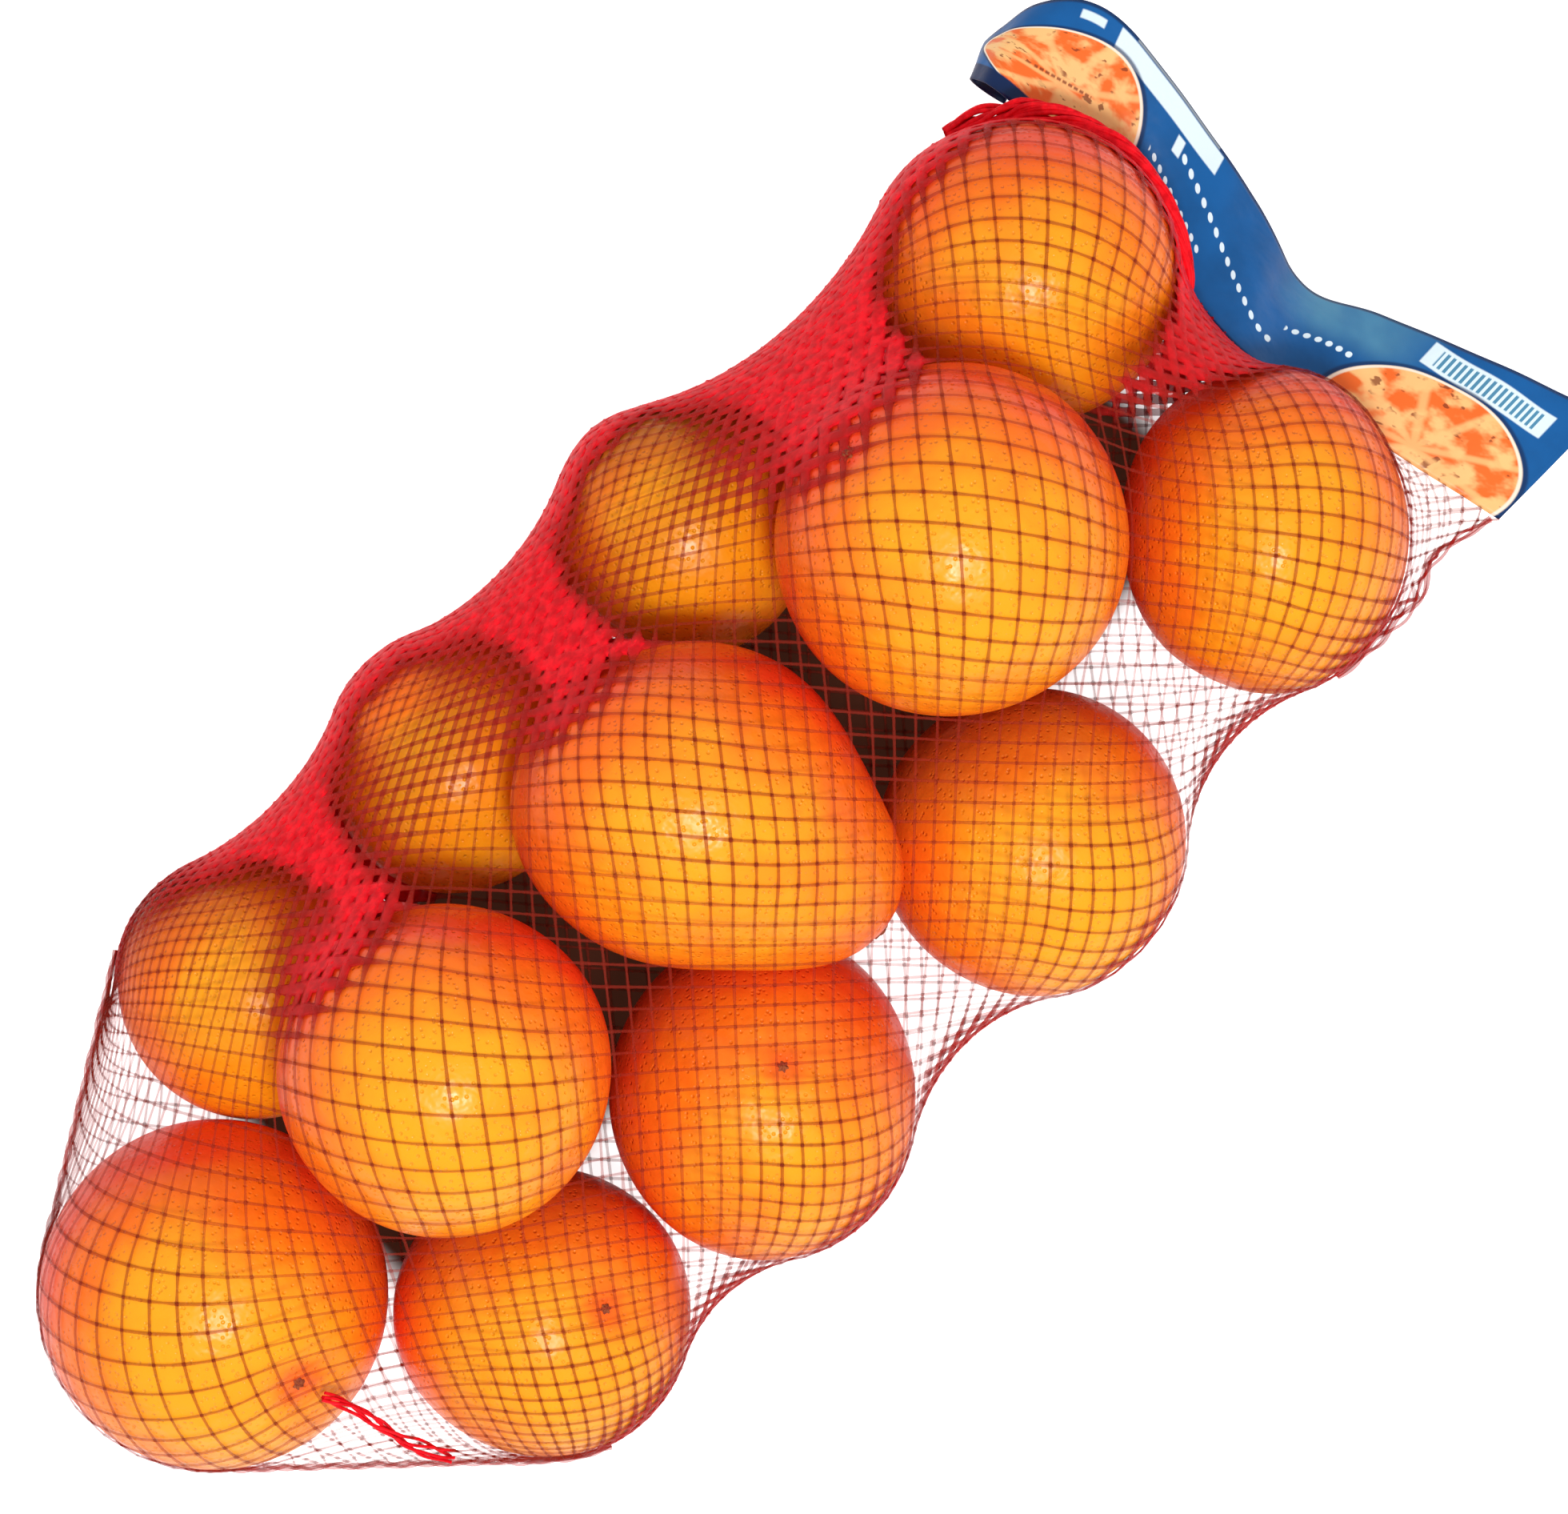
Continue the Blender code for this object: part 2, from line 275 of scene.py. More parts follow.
# %% [markdown]
# ## Peel
# Ripe peel is a deep yellow-orange with a redder blush, oil glands that show as darker dots, and
# a thin wax that gives broken highlights.  The blush is painted on the mesh as a value between 0
# and 1, and the material turns it into colour.  Besides each fruit's own redness and a redder spot
# round its stem end, that value holds painted shade: the peel is painted redder down its sides and
# most on the side away from the lamp.

# %% peel material
# Peel colours; the blush value, which holds painted shade as well as each fruit's redness, picks
# between them.
PEEL_YELLOW = (0.95, 0.350, 0.008, 1.0)
PEEL_ORANGE = (0.95, 0.165, 0.008, 1.0)
PEEL_RED = (0.92, 0.058, 0.012, 1.0)
PEEL_PIT = (0.50, 0.070, 0.003, 1.0)
# olive brown, painted as shade on the side of the peel away from the lamp
PEEL_OLIVE_SHADE = (0.30, 0.145, 0.012, 1.0)


def make_peel_material():
    material, wire, shader = new_material("orange_peel", Specular_IOR_Level=0.22)
    place = wire.add("ShaderNodeTexCoord").outputs["Object"]
    blush_and_shade, olive_shade = wire.read("blush_and_shade"), wire.read("olive_shade")
    cloud = wire.mottle(place, 55.0, -0.10, 0.10)
    pores = wire.add("ShaderNodeGroup", {}, node_tree=pore_group)
    wire.feed(pores.inputs["Vector"], place)
    wire.feed(pores.inputs["Scale"], 620.0)
    # The blush value is each fruit's own redness together with painted shade: redder down the sides
    # and away from the lamp.
    shade = wire.math("ADD", blush_and_shade, cloud, clamp=True)
    warm = wire.mix(wire.between(shade, 0.0, 0.5), PEEL_YELLOW, PEEL_ORANGE)
    warm = wire.mix(wire.between(shade, 0.45, 1.0), warm, PEEL_RED)
    pitted = wire.mix(wire.math("MULTIPLY", pores.outputs["Pit"], 0.10), warm, PEEL_PIT)
    # The olive value is painted shade on the side away from the lamp.
    wire.feed(shader.inputs["Base Color"], wire.mix(olive_shade, pitted, PEEL_OLIVE_SHADE))
    wire.feed(shader.inputs["Roughness"], wire.mottle(place, 140.0, 0.24, 0.36))
    wire.feed(shader.inputs["Normal"], wire.bump(pores.outputs["Height"], 0.0005, 0.85))
    return material


peel_material = make_peel_material()
print("material:", peel_material.name)

# %% [markdown]
# ## Oranges
# No two oranges are alike: each is a slightly stretched ball with its own low lumps, a shallow
# hollow with creases round its stem end, and a flat spot where it rests.  One is pear-shaped.
# The same function gives the radius in any direction, so the net can later be laid on the very
# surface that the mesh has.  An icosphere spreads its points evenly, which a UV sphere doesn't.

# %% the shape of an orange
PEEL_DIVISIONS = 6
STEM_HOLLOW_ANGLE = math.radians(16)
STEM_HOLLOW_DEPTH = 0.045                # as a share of the radius
STEM_CREASES = 7
PEEL_FLOOR = 0.0009                      # the peel rests on the net, and the net on the floor


def crease_frame(axis):
    """Two directions square to an axis."""
    side = np.cross(axis, (0.0, 0.0, 1.0) if abs(axis[2]) < 0.9 else (1.0, 0.0, 0.0))
    side /= np.linalg.norm(side)
    return side, np.cross(axis, side)


def growth(fruit, unit):
    """Radius in each unit direction, as a share of the plain egg shape."""
    grow = np.ones(unit.shape[:-1])
    for direction, phase, size in fruit["lumps"]:
        grow += size * np.sin(unit @ direction + phase)
    facing = np.clip(unit @ fruit["stem"], -1.0, 1.0)
    angle = np.arccos(facing)
    if fruit["name"] == NECKED_ORANGE:
        grow += NECK_REACH * np.exp(-((angle / NECK_HALF_ANGLE) ** 2))
    side, other = crease_frame(fruit["stem"])
    around = np.arctan2(unit @ other, unit @ side)
    hollow = np.exp(-((angle / STEM_HOLLOW_ANGLE) ** 2))
    crease = 0.25 * hollow * np.clip(np.cos(STEM_CREASES * around) - 0.2, 0.0, 1.0)
    return grow - STEM_HOLLOW_DEPTH * (hollow + crease)


def make_orange(fruit):
    cage = bmesh.new()
    bmesh.ops.create_icosphere(cage, subdivisions=PEEL_DIVISIONS, radius=1.0)
    mesh = bpy.data.meshes.new("orange_" + fruit["name"])
    cage.to_mesh(mesh)
    cage.free()
    unit = np.empty(len(mesh.vertices) * 3)
    mesh.vertices.foreach_get("co", unit)
    unit = unit.reshape(-1, 3)
    unit /= np.linalg.norm(unit, axis=1, keepdims=True)
    points = fruit["centre"] + (unit * growth(fruit, unit)[:, None]) @ fruit["shape"].T
    points[:, 2] = np.maximum(points[:, 2], PEEL_FLOOR)
    mesh.vertices.foreach_set("co", points.ravel())
    mesh.shade_smooth()
    paint_orange(mesh, fruit, unit)
    mesh.materials.append(peel_material)
    orange = bpy.data.objects.new("orange_" + fruit["name"], mesh)
    bpy.context.scene.collection.objects.link(orange)
    return orange


# %% [markdown]
# The peel is painted yellow where it faces up and redder down its sides and on the side away from
# the lamp, which is painted shade.  How red each orange is, and how much olive shade is painted on
# its left side, comes from a small table.

# %% the blush and painted shade
# redness all over, and how much olive painted shade falls on the left side, away from the lamp
REDNESS_AND_SHADE = {"left_1": (0.0, 0.35), "left_2": (0.06, 0.10), "left_3": (0.0, 0.60),
            "left_4": (0.08, 0.05), "end_1": (0.0, 0.0), "right_1": (0.0, 0.30),
            "right_2": (0.12, 0.20), "right_3": (0.0, 0.45), "right_4": (0.0, 0.10),
            "top_2": (0.0, 0.0), "top_3": (0.04, 0.0), "top_4": (0.02, 0.0)}


def paint_orange(mesh, fruit, unit):
    """Two values for each vertex: how red the peel is, with painted shade, and how much olive shade.
    """
    redness, side_shade = REDNESS_AND_SHADE[fruit["name"]]
    facing = np.arccos(np.clip(unit @ fruit["stem"], -1.0, 1.0))
    # painted shade: the peel is painted redder the further it turns down from the top
    down = np.clip(1.0 - unit[:, 2], 0.0, 2.0)
    # painted shade: the side away from the lamp is painted redder, and olive on some oranges
    side = np.clip(-0.92 * unit[:, 0] + 0.39 * unit[:, 1], -1.0, 1.0)
    blush_and_shade = redness + 0.95 * down ** 0.85 * (1.0 + 0.45 * side) + 0.22 * side
    blush_and_shade += 0.5 * np.exp(-((facing / math.radians(8)) ** 2))
    # painted shade: olive brown on the side away from the lamp
    olive_shade = side_shade * np.clip((side - 0.25) / 0.5, 0.0, 1.0)
    for name, values in (("blush_and_shade", blush_and_shade), ("olive_shade", olive_shade)):
        layer = mesh.attributes.new(name, "FLOAT", "POINT")
        layer.data.foreach_set("value", np.clip(values, 0.0, 1.0).astype(np.float32))


oranges = [make_orange(fruit) for fruit in fruits]
print("oranges:", len(oranges), "triangles in each:", len(oranges[0].data.polygons))

# %% [markdown]
# ## Stem ends
# Where the stem was, an orange keeps a dry little star: a raised button with a few worn lobes.
# It is a turned disc whose rim is waved in and out, seated in the hollow of the peel.  They
# differ in size.

# %% stem ends
STEM_END_RADIUS = 0.0018
STEM_END_SIZES = {"end_1": 0.9, "right_1": 0.7, "right_2": 0.75, "top_4": 1.15}
STEM_END_RINGS = ((0.0, 0.0007), (0.35, 0.0009), (0.62, 0.0003), (0.85, 0.0005), (1.0, -0.0006))
STEM_END_LOBES = 6


def make_stem_material():
    material, wire, shader = new_material("stem_end", Roughness=0.75)
    place = wire.add("ShaderNodeTexCoord").outputs["Object"]
    wire.feed(shader.inputs["Base Color"], wire.mix(wire.mottle(place, 900.0, 0.0, 1.0),
                                                    (0.22, 0.022, 0.006, 1.0),
                                                    (0.36, 0.080, 0.012, 1.0)))
    pores = wire.add("ShaderNodeGroup", {}, node_tree=pore_group)
    wire.feed(pores.inputs["Vector"], place)
    wire.feed(pores.inputs["Scale"], 1500.0)
    wire.feed(shader.inputs["Normal"], wire.bump(pores.outputs["Height"], 0.0003))
    return material


stem_material = make_stem_material()


def make_stem_end(fruit):
    axis = fruit["stem"]
    side, other = crease_frame(axis)
    chance = np.random.default_rng(int(fruit["radius"] * 1e6))
    turn = chance.uniform(0, 6.28)
    size = STEM_END_RADIUS * STEM_END_SIZES.get(fruit["name"], 1.0)
    cage = bmesh.new()
    rings = []
    segments = STEM_END_LOBES * 6
    for share, lift in STEM_END_RINGS[1:]:
        ring = []
        for k in range(segments):
            angle = 2 * math.pi * k / segments
            wave = 1.0 + 0.22 * share * math.cos(STEM_END_LOBES * angle + turn)
            away = size * share * wave
            direction = side * math.cos(angle) + other * math.sin(angle)
            base = unit_on(fruit, axis * fruit["radius"] + direction * away)
            ring.append(cage.verts.new(base + axis * lift))
        rings.append(ring)
    middle = cage.verts.new(unit_on(fruit, axis) + axis * STEM_END_RINGS[0][1])
    for k in range(segments):
        after = (k + 1) % segments
        cage.faces.new((middle, rings[0][k], rings[0][after]))
        for low, high in zip(rings[:-1], rings[1:]):
            cage.faces.new((low[k], high[k], high[after], low[after]))
    mesh = bpy.data.meshes.new("stem_" + fruit["name"])
    cage.to_mesh(mesh)
    cage.free()
    mesh.shade_smooth()
    mesh.materials.append(stem_material)
    stem_end = bpy.data.objects.new("stem_" + fruit["name"], mesh)
    bpy.context.scene.collection.objects.link(stem_end)
    return stem_end


def unit_on(fruit, direction):
    """The point of the peel in a direction from the orange's centre."""
    unit = np.linalg.inv(fruit["shape"]) @ direction
    unit /= np.linalg.norm(unit)
    return fruit["centre"] + fruit["shape"] @ (unit * growth(fruit, unit[None, :])[0])


stem_ends = [make_stem_end(fruit) for fruit in fruits]
print("stem ends:", len(stem_ends))

# %% [markdown]
# ## The band's edges
# The printed film is folded over the net's mouth and welded to it.  Its shape is given by ten
# cross sections from left to right, each from the net's edge to the free edge.  A smooth curve
# through them gives both edges, and the net's mouth follows the inner one.

# %% the band's sections
BAND_SECTIONS = [
    ((-0.0825, 0.1465, 0.0170), (-0.0868, 0.1600, 0.0100)),
    ((-0.0790, 0.1472, 0.0220), (-0.0845, 0.1700, 0.0140)),
    ((-0.0720, 0.1480, 0.0235), (-0.0765, 0.1785, 0.0185)),
    ((-0.0600, 0.1490, 0.0190), (-0.0635, 0.1812, 0.0190)),
    ((-0.0390, 0.1500, 0.0110), (-0.0410, 0.1792, 0.0120)),
    ((-0.0160, 0.1470, 0.0180), (-0.0140, 0.1750, 0.0080)),
    ((0.0085, 0.1440, 0.0290), (0.0090, 0.1690, 0.0060)),
    ((0.0280, 0.1500, 0.0165), (0.0270, 0.1775, 0.0060)),
    ((0.0530, 0.1550, 0.0140), (0.0530, 0.1878, 0.0070)),
    ((0.0810, 0.1615, 0.0120), (0.0810, 0.1985, 0.0050)),
]


def smooth_curve(points, count):
    """Evenly spaced points on a smooth curve through the given ones (Catmull-Rom)."""
    guide = np.array(points, dtype=float)
    guide = np.vstack([2 * guide[0] - guide[1], guide, 2 * guide[-1] - guide[-2]])
    dense = []
    for k in range(1, len(guide) - 2):
        a, b, c, d = guide[k - 1:k + 3]
        for t in np.linspace(0.0, 1.0, 24, endpoint=False):
            dense.append(0.5 * (2 * b + (c - a) * t + (2 * a - 5 * b + 4 * c - d) * t ** 2
                                + (3 * b - a - 3 * c + d) * t ** 3))
    dense.append(guide[-2])
    dense = np.array(dense)
    travelled = np.concatenate([[0.0], np.cumsum(np.linalg.norm(np.diff(dense, axis=0), axis=1))])
    wanted = np.linspace(0.0, travelled[-1], count)
    return np.stack([np.interp(wanted, travelled, dense[:, axis]) for axis in range(3)], axis=1)


inner_guide = [in_part(*section[0]) for section in BAND_SECTIONS]
outer_guide = [in_part(*section[1]) for section in BAND_SECTIONS]
print("band sections:", len(BAND_SECTIONS))

# %% [markdown]
# ## Pulling the net tight
# The net is a tube of diamonds.  Modelling eight thousand knots by hand is hopeless, and cloth
# simulation is slow, but a stretched net is simple: each knot sits where the pull of its four
# neighbours balances, unless an orange or the floor is in the way.  So each knot is moved to the
# weighted middle of its neighbours, again and again, and pushed out of whatever it entered.  The
# weights are higher on the left flank, where the real net has run together into a dense web.

# %% the net's knots
NET_ROUND = 64                           # diamonds round the bag
NET_ROWS = 125                           # rows of knots along it, two for each diamond
NET_LIFT = 0.00055                       # middle of a strand above the peel
NET_FLOOR = 0.00045
NET_STEPS = 700
AXIAL_PULL = 0.18
OVER_RELAX = 1.5
SEAM_HEIGHT = 0.0340
SEAM_CORNERS = ((-0.0785, -0.1430), (0.0850, -0.1430))
HEM_THICKNESS = 0.0016
MOUTH_FROM = 2                           # the band's section where the net's mouth begins
LEFT_FLANK = 0.03                        # as a share of the way round, over the top from the left
FLANK_WIDTH = 0.10
FLANK_PULL = 1.0
CREST = 0.27                             # the ridge of the bag, where the net is a little denser
CREST_WIDTH = 0.10
CREST_PULL = 0.0
# where the net stands off in a fold at its right edge: y, and the least x
FOLD_LINE = [(0.1050, 0.0775), (0.1140, 0.0790), (0.1220, 0.0800), (0.1325, 0.0800),
             (0.1380, 0.0775), (0.1425, 0.0762), (0.1500, 0.0768), (0.1600, 0.0790)]


def push_out(points, lift):
    """Moves points that are inside an orange, or under the floor, back onto its surface."""
    for fruit in fruits:
        offset = points - fruit["centre"]
        near = np.einsum("...k,...k->...", offset, offset) < (1.6 * fruit["radius"]) ** 2
        if not near.any():
            continue
        shape = fruit["shape"] * (1.0 + lift / fruit["radius"])
        unit = offset[near] @ np.linalg.inv(shape).T
        far = np.maximum(np.linalg.norm(unit, axis=-1, keepdims=True), 1e-9)
        limit = growth(fruit, unit / far)[:, None]
        points[near] = fruit["centre"] + (unit * np.maximum(limit / far, 1.0)) @ shape.T
    points[..., 2] = np.maximum(points[..., 2], NET_FLOOR)
    return points


def ramp(value, start, full):
    """0 before start and 1 after full, smoothly."""
    share = np.clip((value - start) / (full - start), 0.0, 1.0)
    return share * share * (3.0 - 2.0 * share)


def off_fruits(points):
    """In the bag's plan, 1 over the gaps between the oranges and 0 well inside their outlines."""
    inside = np.full(points.shape[:-1], -1.0)
    for fruit in fruits:
        offset = (points - fruit["centre"]) * (1.0, 1.0, 0.0)
        unit = offset @ np.linalg.inv(fruit["shape"]).T
        far = np.maximum(np.linalg.norm(unit, axis=-1), 1e-9)
        inside = np.maximum(inside, growth(fruit, unit / far[..., None]) - far)
    return 1.0 - ramp(inside, 0.0, OUTLINE_SHARE)


def flat_loop(edge):
    """A closed flat ring over and under an edge: left to right on top, and back underneath."""
    lift = np.array([0.0, 0.0, HEM_THICKNESS / 2])
    return np.vstack([edge[:1], edge[1:-1] + lift, edge[-1:], (edge[1:-1] - lift)[::-1]])


def sewn_edge():
    """The sewn end as a taut line round the last oranges, from corner to corner."""
    left, right = SEAM_CORNERS
    arc = [left, (-0.070, -0.215), (-0.010, -0.240), (0.055, -0.215), right]
    line = smooth_curve([in_part(x, y, SEAM_HEIGHT) for x, y in arc], NET_ROUND // 2 + 1)
    for _ in range(600):
        line[1:-1] = (line[:-2] + line[2:]) / 2
        line = push_out(line, 2 * NET_LIFT)
        line[:, 2] = SEAM_HEIGHT
    return line


def loose_net():
    """The net before it is pulled tight, as [row, knot, axis]; odd rows are half a knot on."""
    first = flat_loop(sewn_edge())
    last = flat_loop(smooth_curve(inner_guide[MOUTH_FROM:], NET_ROUND // 2 + 1))
    net = np.empty((NET_ROWS, NET_ROUND, 3))
    knots = np.arange(NET_ROUND)
    for row in range(NET_ROWS):
        along = row / (NET_ROWS - 1)
        flat = first * (1.0 - along) + last * along
        if row % 2:
            flat = (flat + np.roll(flat, -1, axis=0)) / 2
        turn = math.pi - 2 * math.pi * (knots + 0.5 * (row % 2)) / NET_ROUND
        swell = math.sin(math.pi * along) ** 0.4
        net[row] = flat
        net[row, :, 0] = flat[:, 0] * (1.0 - swell) + swell * 0.100 * np.cos(turn)
        net[row, :, 2] = flat[:, 2] * (1.0 - swell) + swell * (0.062 + 0.066 * np.sin(turn))
    return net


def round_from(start, phase):
    """How far round the bag a place is from another one, from -0.5 to 0.5."""
    return (phase / NET_ROUND - start + 0.5) % 1.0 - 0.5


def flank_pull(phase):
    """How hard a strand pulls at each place round the bag."""
    flank = FLANK_PULL * np.exp(-((round_from(LEFT_FLANK, phase) / FLANK_WIDTH) ** 2))
    crest = CREST_PULL * np.exp(-((round_from(CREST, phase) / CREST_WIDTH) ** 2))
    return 1.0 + flank + crest


def neighbour_middle(net, rows):
    """The balance point of the four diagonal neighbours and the two along the bag."""
    odd = rows[0] % 2
    knots = np.arange(NET_ROUND)
    left_pull = flank_pull(knots + 0.5 * odd - 0.25)[None, :, None]
    right_pull = flank_pull(knots + 0.5 * odd + 0.25)[None, :, None]
    beside = net[rows + 1] + net[rows - 1]
    left = beside if odd else np.roll(beside, 1, axis=1)
    right = np.roll(beside, -1, axis=1) if odd else beside
    total = left_pull * left + right_pull * right
    weight = 2 * (left_pull + right_pull)
    far_up = net[np.minimum(rows + 2, NET_ROWS - 1)]
    far_down = net[np.maximum(rows - 2, 0)]
    total = total + AXIAL_PULL * 2 * (far_up + far_down)
    return total / (weight + 4 * AXIAL_PULL)


def hold_fold(net, rows):
    """Keeps the net's right crease out at the fold line."""
    y, x = np.array(FOLD_LINE).T - np.array(LAYOUT_MIDDLE[::-1])[:, None]
    crease = net[rows, NET_ROUND // 2]
    held = (crease[:, 1] > y[0]) & (crease[:, 1] < y[-1])
    crease[:, 0] = np.where(held, np.maximum(crease[:, 0], np.interp(crease[:, 1], y, x)),
                            crease[:, 0])
    net[rows, NET_ROUND // 2] = crease


def pull_tight(net):
    odd_rows = np.arange(1, NET_ROWS - 1, 2)
    even_rows = np.arange(2, NET_ROWS - 1, 2)
    for step in range(NET_STEPS):
        ease = OVER_RELAX if step < NET_STEPS - 60 else 1.0
        for rows in (odd_rows, even_rows):
            target = neighbour_middle(net, rows)
            net[rows] += ease * (target - net[rows])
            net[rows] = push_out(net[rows], NET_LIFT)
        hold_fold(net, even_rows)
    return net


net = pull_tight(loose_net())
print("knots:", net.shape[0] * net.shape[1])
for fruit in fruits:
    knots = net[2:-2:2]
    near = np.linalg.norm((knots - fruit["centre"])[..., :2], axis=-1) < 0.5 * fruit["radius"]
    near &= knots[..., 2] > fruit["centre"][2]
    strand = np.linalg.norm(net[3:-1:2] - knots, axis=-1)[near]
    print("strand from knot to knot on", fruit["name"], round(1000 * strand.mean(), 1), "mm")

# %% [markdown]
# ## Strands
# The strands are soft plastic, a little flattened, and thicker where two of them are welded into
# a knot.  A curve with a bevel would do for one strand, but a hundred and twenty-eight on a
# relaxed grid are quicker as one mesh: rings of points along each strand, joined by quads.  The
# two directions of strands are two pieces, and the knots are a third.

# %% a helper for meshes made from arrays
STRAND_SIDES = 6


def mesh_from_arrays(name, points, faces, material, values=None):
    """A mesh from points and quads or triangles, with named values for each point."""
    mesh = bpy.data.meshes.new(name)
    corners = faces.shape[1]
    mesh.vertices.add(len(points))
    mesh.vertices.foreach_set("co", points.astype(np.float32).ravel())
    mesh.loops.add(faces.size)
    mesh.loops.foreach_set("vertex_index", faces.astype(np.int32).ravel())
    mesh.polygons.add(len(faces))
    mesh.polygons.foreach_set("loop_start", np.arange(0, faces.size, corners, dtype=np.int32))
    mesh.update(calc_edges=True)
    mesh.validate()
    mesh.shade_smooth()
    mesh.materials.append(material)
    for label, value in (values or {}).items():
        layer = mesh.attributes.new(label, "FLOAT", "POINT")
        layer.data.foreach_set("value", value.astype(np.float32).ravel())
    thing = bpy.data.objects.new(name, mesh)
    bpy.context.scene.collection.objects.link(thing)
    return thing


def unit_rows(vectors):
    return vectors / np.maximum(np.linalg.norm(vectors, axis=-1, keepdims=True), 1e-12)


def tube_arrays(paths, outward, half_width, half_thickness):
    """Points and quads of tubes along paths [tube, place, axis], flattened along outward."""
    tangent = unit_rows(np.gradient(paths, axis=1))
    across = unit_rows(np.cross(tangent, outward))
    up = np.cross(across, tangent)
    angle = 2 * np.pi * np.arange(STRAND_SIDES) / STRAND_SIDES
    ring = (across[:, :, None] * (np.cos(angle)[:, None] * half_width[:, :, None, None])
            + up[:, :, None] * (np.sin(angle)[:, None] * half_thickness[:, :, None, None]))
    points = paths[:, :, None] + ring
    tubes, places = paths.shape[:2]
    index = np.arange(tubes * places * STRAND_SIDES).reshape(tubes, places, STRAND_SIDES)
    beside = np.roll(index, -1, axis=2)
    quads = np.stack([index[:, :-1], beside[:, :-1], beside[:, 1:], index[:, 1:]], axis=-1)
    return points.reshape(-1, 3), quads.reshape(-1, 4)


# %% [markdown]
# Thin red plastic lets much light through: a strand over an orange is a brown line, over white a
# pale one, and only where many run together is it a strong red.  A refracting shader would be
# slow and noisy on so thin a strand.  A plain see-through one is enough, with the same colour
# and the same alpha all over the net, so each strand mixes with whatever lies behind it from any
# side.  Only where strands have run together is the plastic thick enough to be solid red.

# %% net material
THIN_RED = (0.330, 0.026, 0.014, 1.0)
NET_RED = (0.96, 0.010, 0.020, 1.0)
NET_DEEP_RED = (0.62, 0.004, 0.010, 1.0)
THIN_ALPHA = 0.27                        # a strand's front and back hide more together
KNOT_ALPHA = 0.15                        # a knot's own, over the strands that cross in it


def make_net_material():
    material, wire, shader = new_material("net_plastic", Roughness=0.40, Specular_IOR_Level=0.05)
    place = wire.add("ShaderNodeTexCoord").outputs["Object"]
    gathered = wire.read("gathered")
    dense = wire.mix(wire.mottle(place, 420.0, 0.0, 1.0), NET_DEEP_RED, NET_RED)
    wire.feed(shader.inputs["Base Color"], wire.mix(gathered, THIN_RED, dense))
    alpha = wire.math("MULTIPLY_ADD", wire.read("knot"), KNOT_ALPHA - THIN_ALPHA, THIN_ALPHA)
    rest = wire.math("SUBTRACT", 1.0, alpha)
    wire.feed(shader.inputs["Alpha"], wire.math("MULTIPLY_ADD", gathered, rest, alpha, clamp=True))
    return material


net_material = make_net_material()
print("material:", net_material.name)

# %% where the net has run together
WEB_EDGE, WEB_FULL = -0.032, -0.042      # x, from the clear part of the net into the left webs
WEB_FROM, WEB_WHOLE = -0.116, -0.102     # y, from the clear end into the red left side
OUTLINE_SHARE = 0.07                     # of a radius, over which gathered strands spread out
LEFT_RIM, LEFT_RIM_FULL = 0.66, 0.90     # how far the net's outside faces to the left
RIGHT_RIM, RIGHT_RIM_FULL = 0.80, 1.00
RIGHT_RIM_RED = 0.45
# more places with more plastic: x, y, radius and how much
# The first place, between the two oranges by the band, is made this red partly as painted reflection:
# it stands for orange light thrown onto the ground seen through the web, as well as for more plastic.
SHOULDERS = [(0.0025, 0.1400, 0.022, 0.80), (-0.0070, 0.1220, 0.014, 0.60),
             (-0.0740, -0.1380, 0.012, 0.55)]
MOUTH_WEB = (0.0040, -0.0120, 0.125)     # x from and to, and y, where the net is red up to its mouth
CORNER_CALM = 0.016                      # no swelling this near to the mouth's left corner


def net_outward(net):
    """The outward direction at every knot."""
    round_way = np.roll(net, -1, axis=1) - np.roll(net, 1, axis=1)
    along_way = np.gradient(net, axis=0)
    return unit_rows(np.cross(round_way, along_way))


def net_values():
    """How far the net has run together at every knot, and how much wider it is there."""
    between = off_fruits(net)
    x, y = net[..., 0] + LAYOUT_MIDDLE[0], net[..., 1] + LAYOUT_MIDDLE[1]
    web = ramp(x, WEB_EDGE, WEB_FULL) * ramp(y, WEB_FROM, WEB_WHOLE) * between
    start, full, beyond = MOUTH_WEB
    mouth = ramp(x, start, full) * (y > beyond) * between
    to_right = net_outward(net)[..., 0]
    left_rim = ramp(-to_right, LEFT_RIM, LEFT_RIM_FULL) * ramp(y, WEB_FROM - 0.03, WEB_WHOLE)
    right_rim = RIGHT_RIM_RED * ramp(to_right, RIGHT_RIM, RIGHT_RIM_FULL)
    dense = np.maximum.reduce([web, mouth, left_rim, right_rim])
    for at_x, at_y, reach, amount in SHOULDERS:
        away = np.hypot(x - at_x, y - at_y)
        dense = np.maximum(dense, amount * ramp(away, reach, 0.5 * reach) * between)
    from_corner = np.linalg.norm(net - net[-1, 0], axis=-1)
    return dense, dense * ramp(from_corner, 0.5 * CORNER_CALM, CORNER_CALM)


gathered, swollen = net_values()
print("share of the knots that have run together:", round(float((gathered > 0.5).mean()), 2))

# %% the two directions of strands
STRAND_HALF_WIDTH = 0.00034
STRAND_HALF_THICKNESS = 0.00024
KNOT_SWELL = 1.2                        # strand size at a knot, against its middle
GATHER_SWELL = 5.4                       # how much wider strands get where they run together
THICKNESS_SPREAD = 0.10
FULL_SPACE = 0.0044                      # strands between closer knots are thinner


def strand_route(direction):
    """For each strand and row, which knot of the row the strand passes."""
    rows = np.arange(NET_ROWS)
    step = rows // 2 if direction > 0 else -((rows + 1) // 2)
    return (np.arange(NET_ROUND)[:, None] + step[None, :]) % NET_ROUND


def with_middles(at_knots):
    """Values at the knots of each strand, with one in the middle between each two."""
    shape = (at_knots.shape[0], 2 * at_knots.shape[1] - 1) + at_knots.shape[2:]
    both = np.empty(shape)
    both[:, ::2] = at_knots
    both[:, 1::2] = (at_knots[:, 1:] + at_knots[:, :-1]) / 2
    return both


